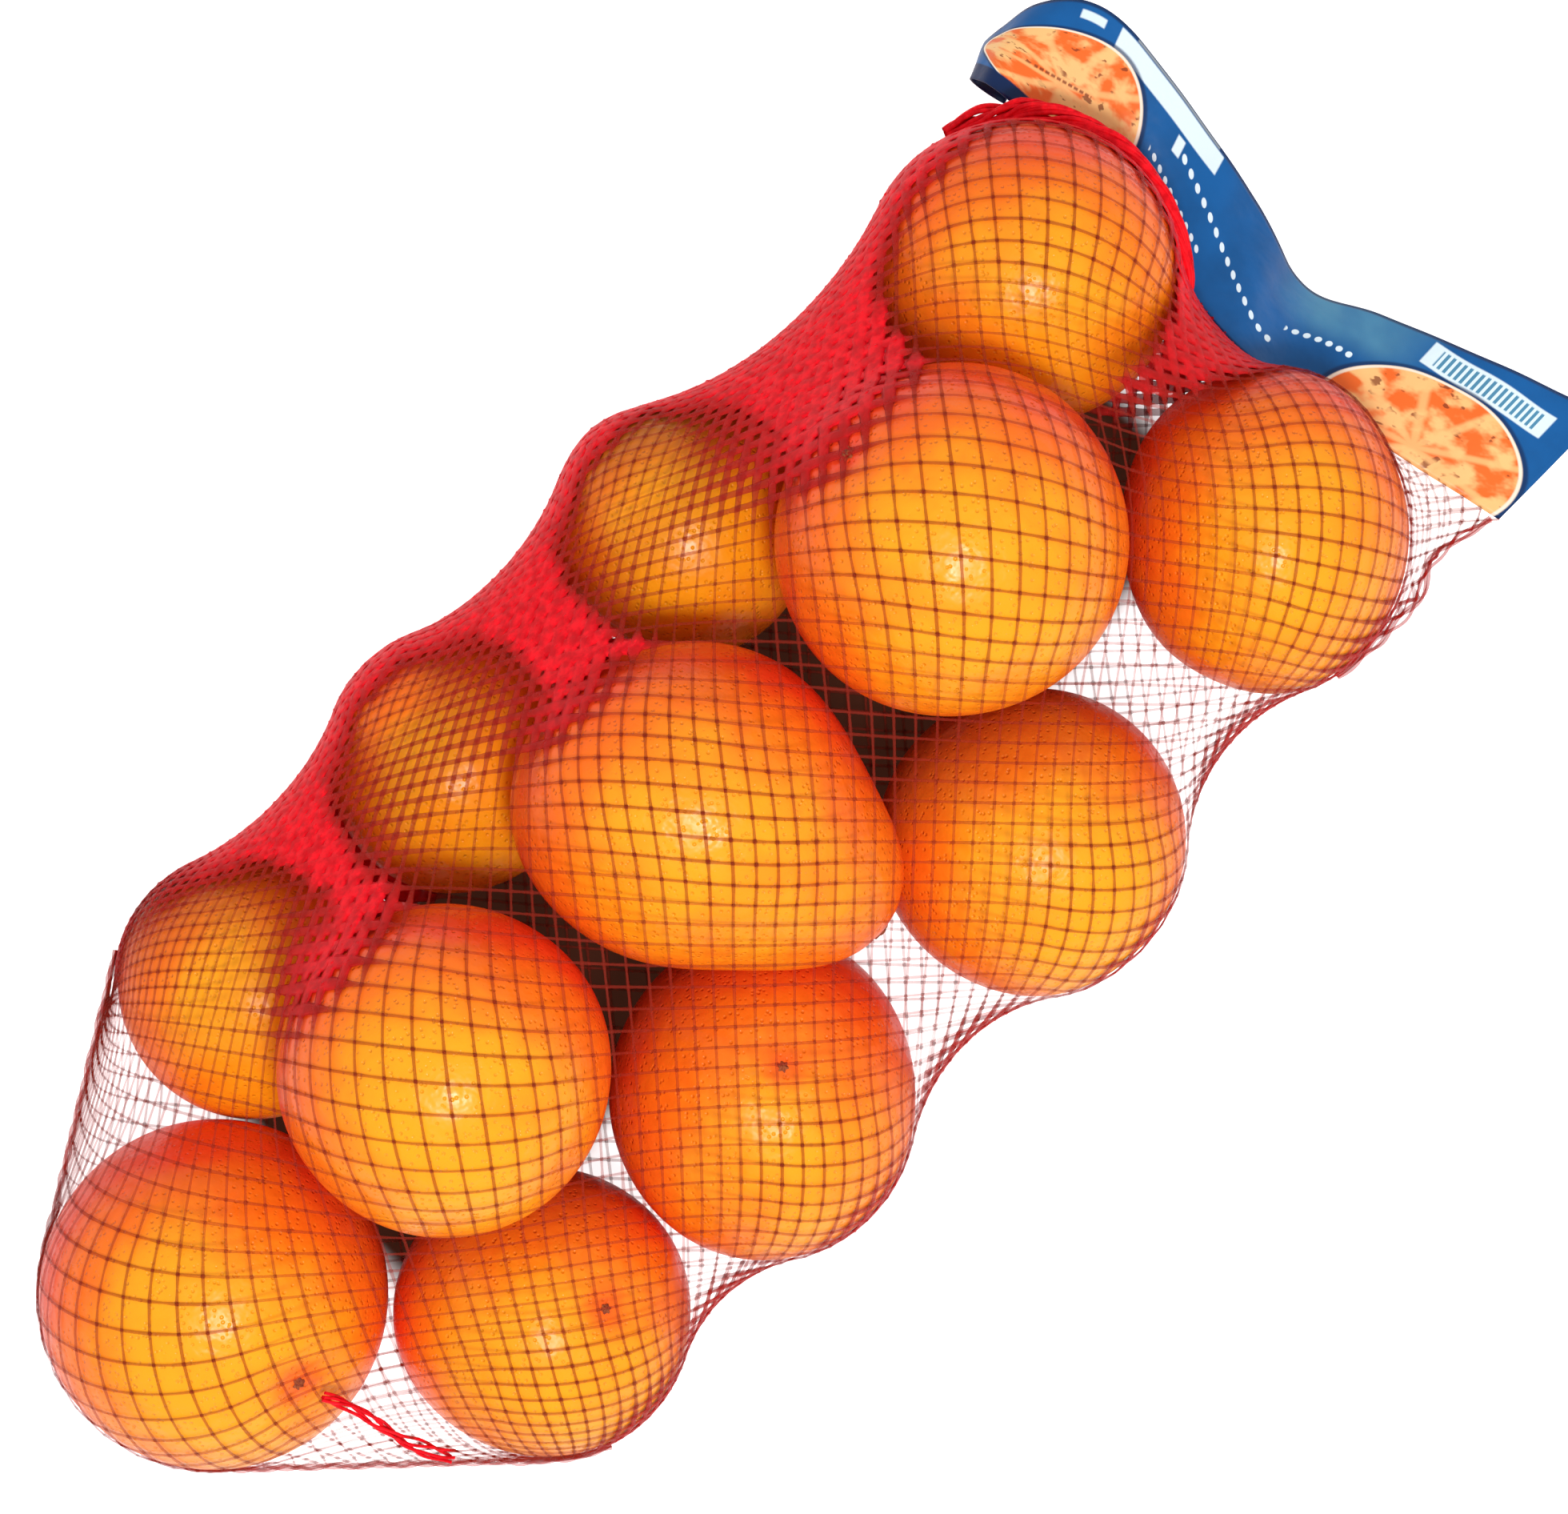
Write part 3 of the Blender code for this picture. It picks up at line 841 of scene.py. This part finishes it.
def make_strands(name, direction, seed):
    route = strand_route(direction)
    rows = np.arange(NET_ROWS)[None, :]
    paths = with_middles(net[rows, route])
    paths[:, 1::2] = push_out(paths[:, 1::2], NET_LIFT)
    away = unit_rows(with_middles(net_outward(net)[rows, route]))
    dense = with_middles(gathered[rows, route])
    wider = 1.0 + GATHER_SWELL * with_middles(swollen[rows, route])
    steps = np.linalg.norm(np.diff(net[rows, route], axis=1), axis=-1)
    spaces = np.concatenate([steps[:, :1], (steps[:, 1:] + steps[:, :-1]) / 2, steps[:, -1:]], axis=1)
    wider *= np.clip(with_middles(spaces) / FULL_SPACE, 0.5, 1.0)
    swell = np.where(np.arange(paths.shape[1]) % 2 == 0, KNOT_SWELL, 1.0)
    chance = np.random.default_rng(seed)
    size = swell * (1.0 + THICKNESS_SPREAD * chance.normal(size=dense.shape).clip(-2, 2))
    points, quads = tube_arrays(paths, away, STRAND_HALF_WIDTH * size * wider,
                                STRAND_HALF_THICKNESS * size)
    points[:, 2] = np.maximum(points[:, 2], 0.00005)
    values = {"gathered": np.repeat(dense, STRAND_SIDES)}
    return mesh_from_arrays(name, points, quads, net_material, values)


strands = [make_strands("net_strands_right", 1, 5), make_strands("net_strands_left", -1, 6)]
print("triangles in each set of strands:", 2 * len(strands[0].data.polygons))

# %% the knots
KNOT_SIZES = (0.00058, 0.00058, 0.00040)  # along, across and out of the net


def make_knots():
    ball = bmesh.new()
    bmesh.ops.create_icosphere(ball, subdivisions=1, radius=1.0)
    ball_points = np.array([vertex.co[:] for vertex in ball.verts])
    ball_faces = np.array([[vertex.index for vertex in face.verts] for face in ball.faces])
    ball.free()
    inner = slice(1, NET_ROWS - 1)
    middle = net[inner].reshape(-1, 3)
    outward = net_outward(net)[inner].reshape(-1, 3)
    beside = (np.roll(net, -1, axis=1) - np.roll(net, 1, axis=1))[inner]
    round_way = unit_rows(beside.reshape(-1, 3))
    along_way = np.cross(outward, round_way)
    chance = np.random.default_rng(7)
    size = 1.0 + 0.18 * chance.normal(size=len(middle)).clip(-1.5, 2)
    axes = np.stack([along_way * KNOT_SIZES[0], round_way * KNOT_SIZES[1],
                     outward * KNOT_SIZES[2]], axis=1) * size[:, None, None]
    points = middle[:, None] + np.einsum("vk,nkc->nvc", ball_points, axes)
    faces = ball_faces[None] + np.arange(len(middle))[:, None, None] * len(ball_points)
    points = points.reshape(-1, 3)
    points[:, 2] = np.maximum(points[:, 2], 0.00004)
    values = {"gathered": np.repeat(gathered[inner], len(ball_points)),
              "knot": np.ones(len(points))}
    return mesh_from_arrays("net_knots", points, faces.reshape(-1, 3), net_material, values)


knots_piece = make_knots()
print("knot triangles:", len(knots_piece.data.polygons))

# %% [markdown]
# ## Hems and folds
# At both ends the net runs into a twisted hem, beside the big end orange some of it has been
# caught up into a red bundle, and here and there it is folded along its edge.  All of these are
# ropes: a few strands wound round one path that lies on the net.  Only where a path runs over the
# ground is its height given; elsewhere it is read from the nearest knots of the net.

# %% ropes
ROPE_STEP = 0.0011
ROPE_FLATNESS = 0.45                     # height against width
# name, strands, strand's radius, turns, how gathered, half widths along the rope, and the path:
# x, y, and the height, or None where it is read from the net
ROPES = [
    ("mouth_hem", 28, 0.00060, 1.3, 1.0,
     (0.0012, 0.0032, 0.0040, 0.0030, 0.0021, 0.0017, 0.0014, 0.0011, 0.0009, 0.0006),
     [(-0.0722, 0.1290, 0.036), (-0.0725, 0.1349, 0.035), (-0.0709, 0.1400, 0.033),
      (-0.0669, 0.1439, 0.032), (-0.0619, 0.1472, 0.033), (-0.0529, 0.1515, 0.034),
      (-0.0446, 0.1560, 0.035), (-0.0360, 0.1570, 0.035), (-0.0270, 0.1552, 0.035),
      (-0.0190, 0.1518, 0.034), (-0.0125, 0.1475, 0.033), (-0.0088, 0.1425, 0.032)]),
    ("gathered_strands", 5, 0.00040, 1.0, 1.0, (0.0012, 0.0010, 0.0009, 0.0012, 0.0020),
     [(0.0290, -0.1785, None), (0.0350, -0.1762, None), (0.0430, -0.1752, None),
      (0.0520, -0.1742, None), (0.0610, -0.1708, None)]),
    ("right_fold", 3, 0.00042, 3.0, 0.35, (0.0006, 0.0009, 0.0009, 0.0009, 0.0006),
     [(0.0795, 0.1600, None), (0.0768, 0.1500, None), (0.0762, 0.1425, None),
      (0.0775, 0.1380, None), (0.0800, 0.1325, None), (0.0800, 0.1220, None),
      (0.0792, 0.1140, None), (0.0775, 0.1056, None)]),
]


def height_on_net(x, y):
    """Height of the upper side of the net near a place."""
    upper = net[:, :NET_ROUND // 2 + 1].reshape(-1, 3)
    near = np.argsort((upper[:, 0] - x) ** 2 + (upper[:, 1] - y) ** 2)[:3]
    return upper[near, 2].mean()


def rope(name, guide, count, rope_radius, strand_radius, twist, dense, seed):
    """Strands wound round a smooth path; rope_radius may differ along it."""
    guide = np.array(guide)
    length = np.linalg.norm(np.diff(guide, axis=0), axis=1).sum()
    places = max(8, int(length / ROPE_STEP))
    path = push_out(smooth_curve(guide, places), NET_LIFT + strand_radius)
    tangent = unit_rows(np.gradient(path, axis=0))
    side = unit_rows(np.cross(tangent, (0.0, 0.0, 1.0)))
    up = np.cross(side, tangent)
    share = np.linspace(0.0, 1.0, places)
    wide = np.interp(share, np.linspace(0.0, 1.0, len(rope_radius)), rope_radius)
    chance = np.random.default_rng(seed)
    paths = []
    for k in range(count):
        angle = 2 * math.pi * (k / count + twist * share) + 0.5 * chance.normal()
        wander = 1.0 + 0.25 * np.sin(2 * math.pi * (3 * share + chance.uniform()))
        across = side * np.cos(angle)[:, None] + ROPE_FLATNESS * up * np.sin(angle)[:, None]
        paths.append(path + across * (wide * wander)[:, None])
    paths = push_out(np.array(paths), NET_LIFT + strand_radius)
    away = np.broadcast_to(up, paths.shape)
    size = np.full(paths.shape[:2], strand_radius)
    points, quads = tube_arrays(paths, away, size, size)
    values = {"gathered": np.full(len(points), dense)}
    return mesh_from_arrays(name, points, quads, net_material, values)


seam_line = net[0, :NET_ROUND // 2 + 1:2]
ropes = [rope("sewn_hem", seam_line, 3, (0.0005, 0.0005), 0.00042, 22, 0.25, 11)]
for seed, (name, count, strand_radius, twist, dense, radii, path) in enumerate(ROPES, 12):
    places = [in_part(x, y, 0.0)[:2] + (z,) for x, y, z in path]
    guide = [(x, y, height_on_net(x, y) + 0.001 if z is None else z) for x, y, z in places]
    ropes.append(rope(name, guide, count, radii, strand_radius, twist, dense, seed))
print("ropes:", [piece.name for piece in ropes])

# %% [markdown]
# ## The printed band
# The band is a strip of film, folded over the net's mouth.  It is one sheet of quads through the
# two smooth edges, with waves that grow towards the free edge, a crease where it bends, and a
# left end that rolls over and down.  Solidify gives the film its thickness.  Each vertex keeps
# how far along and across the strip it lies, in millimetres, and the print is drawn from that.

# %% the film
FILM_THICKNESS = 0.0004
FILM_ALONG = 170
FILM_ACROSS = 26
ROLL_COLUMNS = 14
ROLL_RADIUS = 0.0065
ROLL_TURN = math.radians(150)
FILM_CREASE = 0.0070                     # x of the bend in the middle


def film_rows():
    """The strip as [along, across, axis] without its rolled end."""
    inner = smooth_curve(inner_guide, FILM_ALONG)
    outer = smooth_curve(outer_guide, FILM_ALONG)
    share = np.linspace(0.0, 1.0, FILM_ACROSS)[None, :, None]
    sheet = inner[:, None] * (1.0 - share) + outer[:, None] * share
    x = sheet[..., 0]
    free = share[..., 0]
    bulge = 0.0016 * np.sin(math.pi * free)
    waves = 0.0009 * free * np.sin(2 * math.pi * x / 0.047 + 0.6)
    waves += 0.0005 * np.sin(2 * math.pi * x / 0.021 + 3.0 * free)
    crease = -0.0016 * np.exp(-(((x - FILM_CREASE + 0.006 * free) / 0.0035) ** 2)) * free
    sheet[..., 2] += bulge + waves + crease
    return sheet


def roll_end(sheet):
    """Columns that carry the left end of the strip over and down in an arc."""
    start = sheet[0]
    away = unit_rows(sheet[0] - sheet[3])
    away[:, 2] = np.minimum(away[:, 2], 0.1)
    away = unit_rows(away)
    down = unit_rows(np.array((0.0, 0.0, -1.0)) - away * (-away[:, 2:3]))
    columns = []
    for k in range(ROLL_COLUMNS, 0, -1):
        angle = ROLL_TURN * k / ROLL_COLUMNS
        step = ROLL_RADIUS * (away * math.sin(angle) + down * (1.0 - math.cos(angle)))
        columns.append(start + step)
    return np.concatenate([np.array(columns), sheet])


def make_film():
    sheet = roll_end(film_rows())
    sheet[..., 2] = np.maximum(sheet[..., 2], 0.0010)
    columns, places = sheet.shape[:2]
    index = np.arange(columns * places).reshape(columns, places)
    quads = np.stack([index[:-1, :-1], index[1:, :-1], index[1:, 1:], index[:-1, 1:]], axis=-1)
    film = mesh_from_arrays("film_band", sheet.reshape(-1, 3), quads.reshape(-1, 4), film_material)
    step_along = np.linalg.norm(np.diff(sheet[:, places // 2], axis=0), axis=1)
    along = np.concatenate([[0.0], np.cumsum(step_along)])
    x_middle = sheet[:, places // 2, 0] + LAYOUT_MIDDLE[0]
    along -= np.interp(0.0, x_middle[ROLL_COLUMNS:], along[ROLL_COLUMNS:])
    step_across = np.linalg.norm(np.diff(sheet, axis=1), axis=2)
    across = np.concatenate([np.zeros((columns, 1)), np.cumsum(step_across, axis=1)], axis=1)
    values = {"along": np.repeat(along[:, None], places, axis=1), "across": across,
              "from_free_edge": across[:, -1:] - across}
    for name, value in values.items():
        layer = film.data.attributes.new(name, "FLOAT", "POINT")
        layer.data.foreach_set("value", (1000 * value).astype(np.float32).ravel())
    thick = film.modifiers.new("thickness", "SOLIDIFY")
    thick.thickness = FILM_THICKNESS
    thick.offset = 0.0
    return film


# %% [markdown]
# The print is drawn with a few shared shapes: a fruit slice, which is an egg-shaped disc with a
# pale rim and blotchy wedges, and a bar with soft edges.  Both are node groups, placed several
# times.

# %% print groups
SLICE_WEDGES = 9.0
SLICE_PULP = (0.87, 0.150, 0.020, 1.0)
SLICE_PEACH = (0.95, 0.530, 0.200, 1.0)
SLICE_RIM = (0.95, 0.800, 0.640, 1.0)
SLICE_SPECK = (0.20, 0.035, 0.010, 1.0)


def make_slice_group():
    group, wire, start, end = new_group(
        "fruit_slice", [("Along", FLOAT), ("Across", FLOAT), ("Middle Along", FLOAT),
                        ("Middle Across", FLOAT), ("Half Length", FLOAT), ("Half Width", FLOAT),
                        ("Tilt", FLOAT), ("Taper", FLOAT)], [("Color", COLOR), ("Radius", FLOAT)])
    take = start.outputs
    dx = wire.math("SUBTRACT", take["Along"], take["Middle Along"])
    dy = wire.math("SUBTRACT", take["Across"], take["Middle Across"])
    cosine, sine = wire.math("COSINE", take["Tilt"]), wire.math("SINE", take["Tilt"])
    x = wire.math("MULTIPLY_ADD", dx, cosine, wire.math("MULTIPLY", dy, sine))
    y = wire.math("SUBTRACT", wire.math("MULTIPLY", dy, cosine), wire.math("MULTIPLY", dx, sine))
    x = wire.math("DIVIDE", x, take["Half Length"])
    widening = wire.math("MULTIPLY_ADD", x, take["Taper"], 1.0)
    y = wire.math("DIVIDE", y, wire.math("MULTIPLY", take["Half Width"], widening))
    place = wire.add("ShaderNodeCombineXYZ", {0: x, 1: y, 2: take["Tilt"]}).outputs[0]
    radius = wire.math("SQRT", wire.math("MULTIPLY_ADD", x, x, wire.math("MULTIPLY", y, y)))
    angle = wire.math("ARCTAN2", y, x)
    wedge = wire.math("FRACT", wire.math("MULTIPLY_ADD", angle, SLICE_WEDGES / (2 * math.pi), 20.3))
    to_wall = wire.math("MULTIPLY", wire.math("PINGPONG", wedge, 0.5), radius)
    wall = wire.between(to_wall, 0.02, 0.10, 0.75, 0.0)
    blotch = wire.add("ShaderNodeTexNoise", {"Vector": place, "Scale": 3.2, "Detail": 3.0})
    pulp = wire.mix(wire.between(blotch.outputs[0], 0.42, 0.60), SLICE_PULP, SLICE_PEACH)
    speck = wire.add("ShaderNodeTexNoise", {"Vector": place, "Scale": 7.0, "Detail": 2.0})
    color = wire.mix(wire.between(speck.outputs[0], 0.62, 0.68, 0.0, 0.8), pulp, SLICE_SPECK)
    color = wire.mix(wall, color, SLICE_PEACH)
    color = wire.mix(wire.between(radius, 0.955, 0.975), color, SLICE_RIM)
    wire.feed(end.inputs["Color"], color)
    wire.feed(end.inputs["Radius"], radius)
    return group


def make_bar_group():
    group, wire, start, end = new_group(
        "soft_bar", [("Along", FLOAT), ("Across", FLOAT), ("Left", FLOAT), ("Right", FLOAT),
                     ("Low", FLOAT), ("High", FLOAT)], [("Mask", FLOAT)])
    take = start.outputs
    edge = 0.4
    mask = None
    for value, low, high in (("Along", "Left", "Right"), ("Across", "Low", "High")):
        past = wire.math("DIVIDE", wire.math("SUBTRACT", take[value], take[low]), edge, clamp=True)
        short = wire.math("DIVIDE", wire.math("SUBTRACT", take[high], take[value]), edge, clamp=True)
        both = wire.math("MULTIPLY", past, short)
        mask = both if mask is None else wire.math("MULTIPLY", mask, both)
    wire.feed(end.inputs["Mask"], mask)
    return group


slice_group = make_slice_group()
bar_group = make_bar_group()
print("print groups ready")

# %% film material
FILM_BLUE = (0.0040, 0.105, 0.340, 1.0)
FILM_DEEP = (0.0030, 0.080, 0.260, 1.0)
FILM_NAVY = (0.003, 0.018, 0.080, 1.0)
FILM_SHEEN_AND_STRIPE_BLUE = (0.075, 0.250, 0.400, 1.0)   # painted sheen where the film bends over the fold, and the stripes in the panel
FILM_PALE = (0.72, 0.86, 0.94, 1.0)
FILM_GREY = (0.30, 0.34, 0.38, 1.0)
# middle along and across, half length and width, tilt, taper; all lengths in millimetres
SLICES = [(-71.0, 11.8, 25.0, 12.9, 0.11, 0.60), (57.6, 3.8, 28.2, 18.6, 0.04, 0.0)]
CUT_SLOPE = -0.207                       # the same for the dashed line across the left slice
LINE_SLOPE = 0.30                        # the dotted lines run this much across for each step along


def make_film_material():
    material, wire, shader = new_material("printed_film", Roughness=0.38, Specular_IOR_Level=0.20,
                                          Coat_Weight=0.06, Coat_Roughness=0.20)
    along, across, free = (wire.read(name) for name in ("along", "across", "from_free_edge"))
    sloped = wire.math("MULTIPLY_ADD", along, LINE_SLOPE, across)

    def bar(left, right, low, high, height=across):
        node = wire.add("ShaderNodeGroup", {}, node_tree=bar_group)
        pairs = (("Along", along), ("Across", height), ("Left", left), ("Right", right),
                 ("Low", low), ("High", high))
        for key, value in pairs:
            wire.feed(node.inputs[key], value)
        return node.outputs["Mask"]

    def dots(pitch, size, row, height):
        x = wire.math("PINGPONG", along, pitch / 2)
        y = wire.math("SUBTRACT", height, row)
        away = wire.math("SQRT", wire.math("MULTIPLY_ADD", x, x, wire.math("MULTIPLY", y, y)))
        return wire.between(away, size * 0.8, size, 1.0, 0.0)

    place = wire.add("ShaderNodeTexCoord").outputs["Object"]
    color = wire.mix(wire.mottle(place, 60.0, 0.0, 1.0), FILM_BLUE, FILM_DEEP)
    # painted sheen: a paler, duller blue near the free edge where the film bends over the fold
    painted_sheen = wire.math("MULTIPLY", wire.between(along, 2.0, 16.0),
                        wire.between(along, 34.0, 50.0, 1.0, 0.0))
    painted_sheen = wire.math("MULTIPLY", painted_sheen, wire.between(free, 8.0, 17.0, 1.0, 0.0))
    painted_sheen = wire.math("MULTIPLY", painted_sheen, wire.mottle(place, 45.0, 0.4, 1.0))
    color = wire.mix(painted_sheen, color, FILM_SHEEN_AND_STRIPE_BLUE)
    edges = wire.math("MAXIMUM", wire.between(free, 0.5, 1.2, 1.0, 0.0),
                      wire.between(across, 0.6, 1.2, 1.0, 0.0))
    color = wire.mix(wire.math("MULTIPLY", edges, 0.8), color, FILM_NAVY)
    upper = wire.math("MULTIPLY", dots(3.3, 1.05, 11.6, sloped), bar(-36.0, 11.0, 0.0, 40.0))
    lower = wire.math("MULTIPLY", dots(2.7, 0.85, 3.4, sloped), bar(-43.0, -17.0, 0.0, 40.0))
    short = wire.math("MULTIPLY", dots(3.0, 1.0, 14.6, across), bar(12.0, 31.0, 0.0, 40.0))
    lines = wire.math("MAXIMUM", wire.math("MAXIMUM", upper, lower), short)
    color = wire.mix(lines, color, FILM_PALE)
    color = wire.mix(bar(-37.5, -34.5, 20.0, 24.6), color, FILM_PALE)
    color = wire.mix(bar(-63.0, -24.0, 0.9, 6.6, free), color, FILM_PALE)
    color = wire.mix(bar(-58.0, -26.0, 0.0, 1.0, free), color, FILM_GREY)
    color = wire.mix(bar(-73.0, -66.5, 2.0, 4.6, free), color, FILM_PALE)
    panel = bar(44.0, 79.5, 22.6, 30.2)
    stripes = wire.between(wire.math("PINGPONG", along, 0.8), 0.30, 0.45)
    inside = wire.math("MULTIPLY", stripes, bar(47.0, 77.0, 23.6, 29.2))
    color = wire.mix(panel, color, wire.mix(inside, FILM_PALE, FILM_SHEEN_AND_STRIPE_BLUE))
    for middle_along, middle_across, half_length, half_width, tilt, taper in SLICES:
        node = wire.add("ShaderNodeGroup", {}, node_tree=slice_group)
        pairs = (("Along", along), ("Across", across), ("Middle Along", middle_along),
                 ("Middle Across", middle_across), ("Half Length", half_length),
                 ("Half Width", half_width), ("Tilt", tilt), ("Taper", taper))
        for key, value in pairs:
            wire.feed(node.inputs[key], value)
        radius = node.outputs["Radius"]
        color = wire.mix(wire.between(radius, 1.03, 1.07, 0.8, 0.0), color, FILM_NAVY)
        color = wire.mix(wire.between(radius, 0.99, 1.01, 1.0, 0.0), color, node.outputs["Color"])
    # painted shade: a navy strip along the inner edge of the left end stands for the shaded underside
    # of the fold
    color = wire.mix(bar(-110.0, -70.0, -1.0, 4.2), color, FILM_NAVY)
    cut = wire.math("MULTIPLY_ADD", along, CUT_SLOPE, across)
    stitches = wire.between(wire.math("PINGPONG", along, 0.8), 0.50, 0.60, 1.0, 0.0)
    stitches = wire.math("MULTIPLY", stitches, bar(-79.0, -62.5, 26.9, 28.0, cut))
    color = wire.mix(wire.math("MULTIPLY", stitches, 0.85), color, SLICE_SPECK)
    wire.feed(shader.inputs["Base Color"], color)
    crinkle = wire.add("ShaderNodeTexNoise", {"Vector": place, "Scale": 190.0, "Detail": 2.0})
    wire.feed(shader.inputs["Normal"], wire.bump(crinkle.outputs[0], 0.0006, 0.5))
    return material


film_material = make_film_material()
film = make_film()
print("film:", film.name, len(film.data.polygons), "quads")

# %% [markdown]
# ## Floor and light
# The bag lies on bright white ground that glows a little, as on a light table, so it throws no
# shadow to the side.  Under the middle of the bag a dark patch of painted shadow lies on the
# ground, between the oranges, so the glow ends there.  Above are an even pale surround and one soft
# lamp that stands a little to the bag's right, which puts small broken highlights near the middle of
# each orange.

# %% floor and light
FLOOR_SIZE = 6.0
KEY_DISTANCE = 1.6
KEY_TILT = math.radians(19)
KEY_SIZE = 0.34
# a patch of painted shadow on the ground under the bag, between the oranges
PAINTED_SHADOW_PATCH = ((-0.042, 0.032), (-0.156, 0.120))    # from and to, in x and in y
PAINTED_SHADOW_EDGE = 0.005
KEY_POWER = 17.0
SURROUND = 0.68


def make_floor():
    cage = bmesh.new()
    bmesh.ops.create_grid(cage, x_segments=1, y_segments=1, size=FLOOR_SIZE / 2)
    mesh = bpy.data.meshes.new("floor")
    cage.to_mesh(mesh)
    cage.free()
    material, wire, shader = new_material("floor", Roughness=0.9, Specular_IOR_Level=0.0)
    place = wire.add("ShaderNodeTexCoord").outputs["Object"]
    # painted shadow: the ground is dark inside the patch under the middle of the bag
    shadow = 1.0
    for axis in range(2):
        at = wire.add("ShaderNodeSeparateXYZ", {0: place}).outputs[axis]
        low, high = (edge - LAYOUT_MIDDLE[axis] for edge in PAINTED_SHADOW_PATCH[axis])
        inside = wire.math("MULTIPLY", wire.between(at, low - PAINTED_SHADOW_EDGE, low + PAINTED_SHADOW_EDGE),
                           wire.between(at, high - PAINTED_SHADOW_EDGE, high + PAINTED_SHADOW_EDGE, 1.0, 0.0))
        shadow = wire.math("MULTIPLY", shadow, inside)
    glow = wire.math("SUBTRACT", 1.0, shadow)
    white, dark = (0.90, 0.90, 0.90, 1.0), (0.030, 0.009, 0.005, 1.0)
    color = wire.mix(glow, dark, white)
    wire.feed(shader.inputs["Base Color"], color)
    wire.feed(shader.inputs["Emission Color"], color)
    seen = wire.add("ShaderNodeLightPath").outputs["Is Camera Ray"]
    strength = wire.math("MULTIPLY_ADD", seen, 0.75, 0.25)
    wire.feed(shader.inputs["Emission Strength"], strength)
    mesh.materials.append(material)
    floor = bpy.data.objects.new("floor", mesh)
    bpy.context.scene.collection.objects.link(floor)


def make_lamp():
    data = bpy.data.lights.new("key", "AREA")
    data.shape = "DISK"
    data.size = KEY_SIZE
    data.energy = KEY_POWER
    lamp = bpy.data.objects.new("key", data)
    bpy.context.scene.collection.objects.link(lamp)
    towards = Vector((0.92 * math.sin(KEY_TILT), -0.39 * math.sin(KEY_TILT), math.cos(KEY_TILT)))
    lamp.location = towards * KEY_DISTANCE
    lamp.rotation_euler = towards.to_track_quat("Z", "Y").to_euler()


def make_surround():
    world = bpy.data.worlds.new("surround")
    world.use_nodes = True
    wire = Wiring(world.node_tree)
    background = world.node_tree.nodes["Background"]
    background.inputs["Color"].default_value = (1.0, 1.0, 1.0, 1.0)
    seen = wire.add("ShaderNodeLightPath").outputs["Is Camera Ray"]
    wire.feed(background.inputs["Strength"], wire.math("MAXIMUM", seen, SURROUND))
    bpy.context.scene.world = world


make_floor()
make_lamp()
make_surround()
bpy.context.scene.view_settings.view_transform = "Standard"

# %% [markdown]
# ## Joining the frame
# Every piece rides on the one body, and the solid that it replaces is hidden.

# %% ride and replace
def dress(pieces, node):
    for piece in pieces:
        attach(piece, "root")
        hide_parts(node)


dress(oranges, "net_bag")
dress(stem_ends, "net_bag")
dress(strands + [knots_piece] + ropes, "net_bag")
dress([film], "label_band")
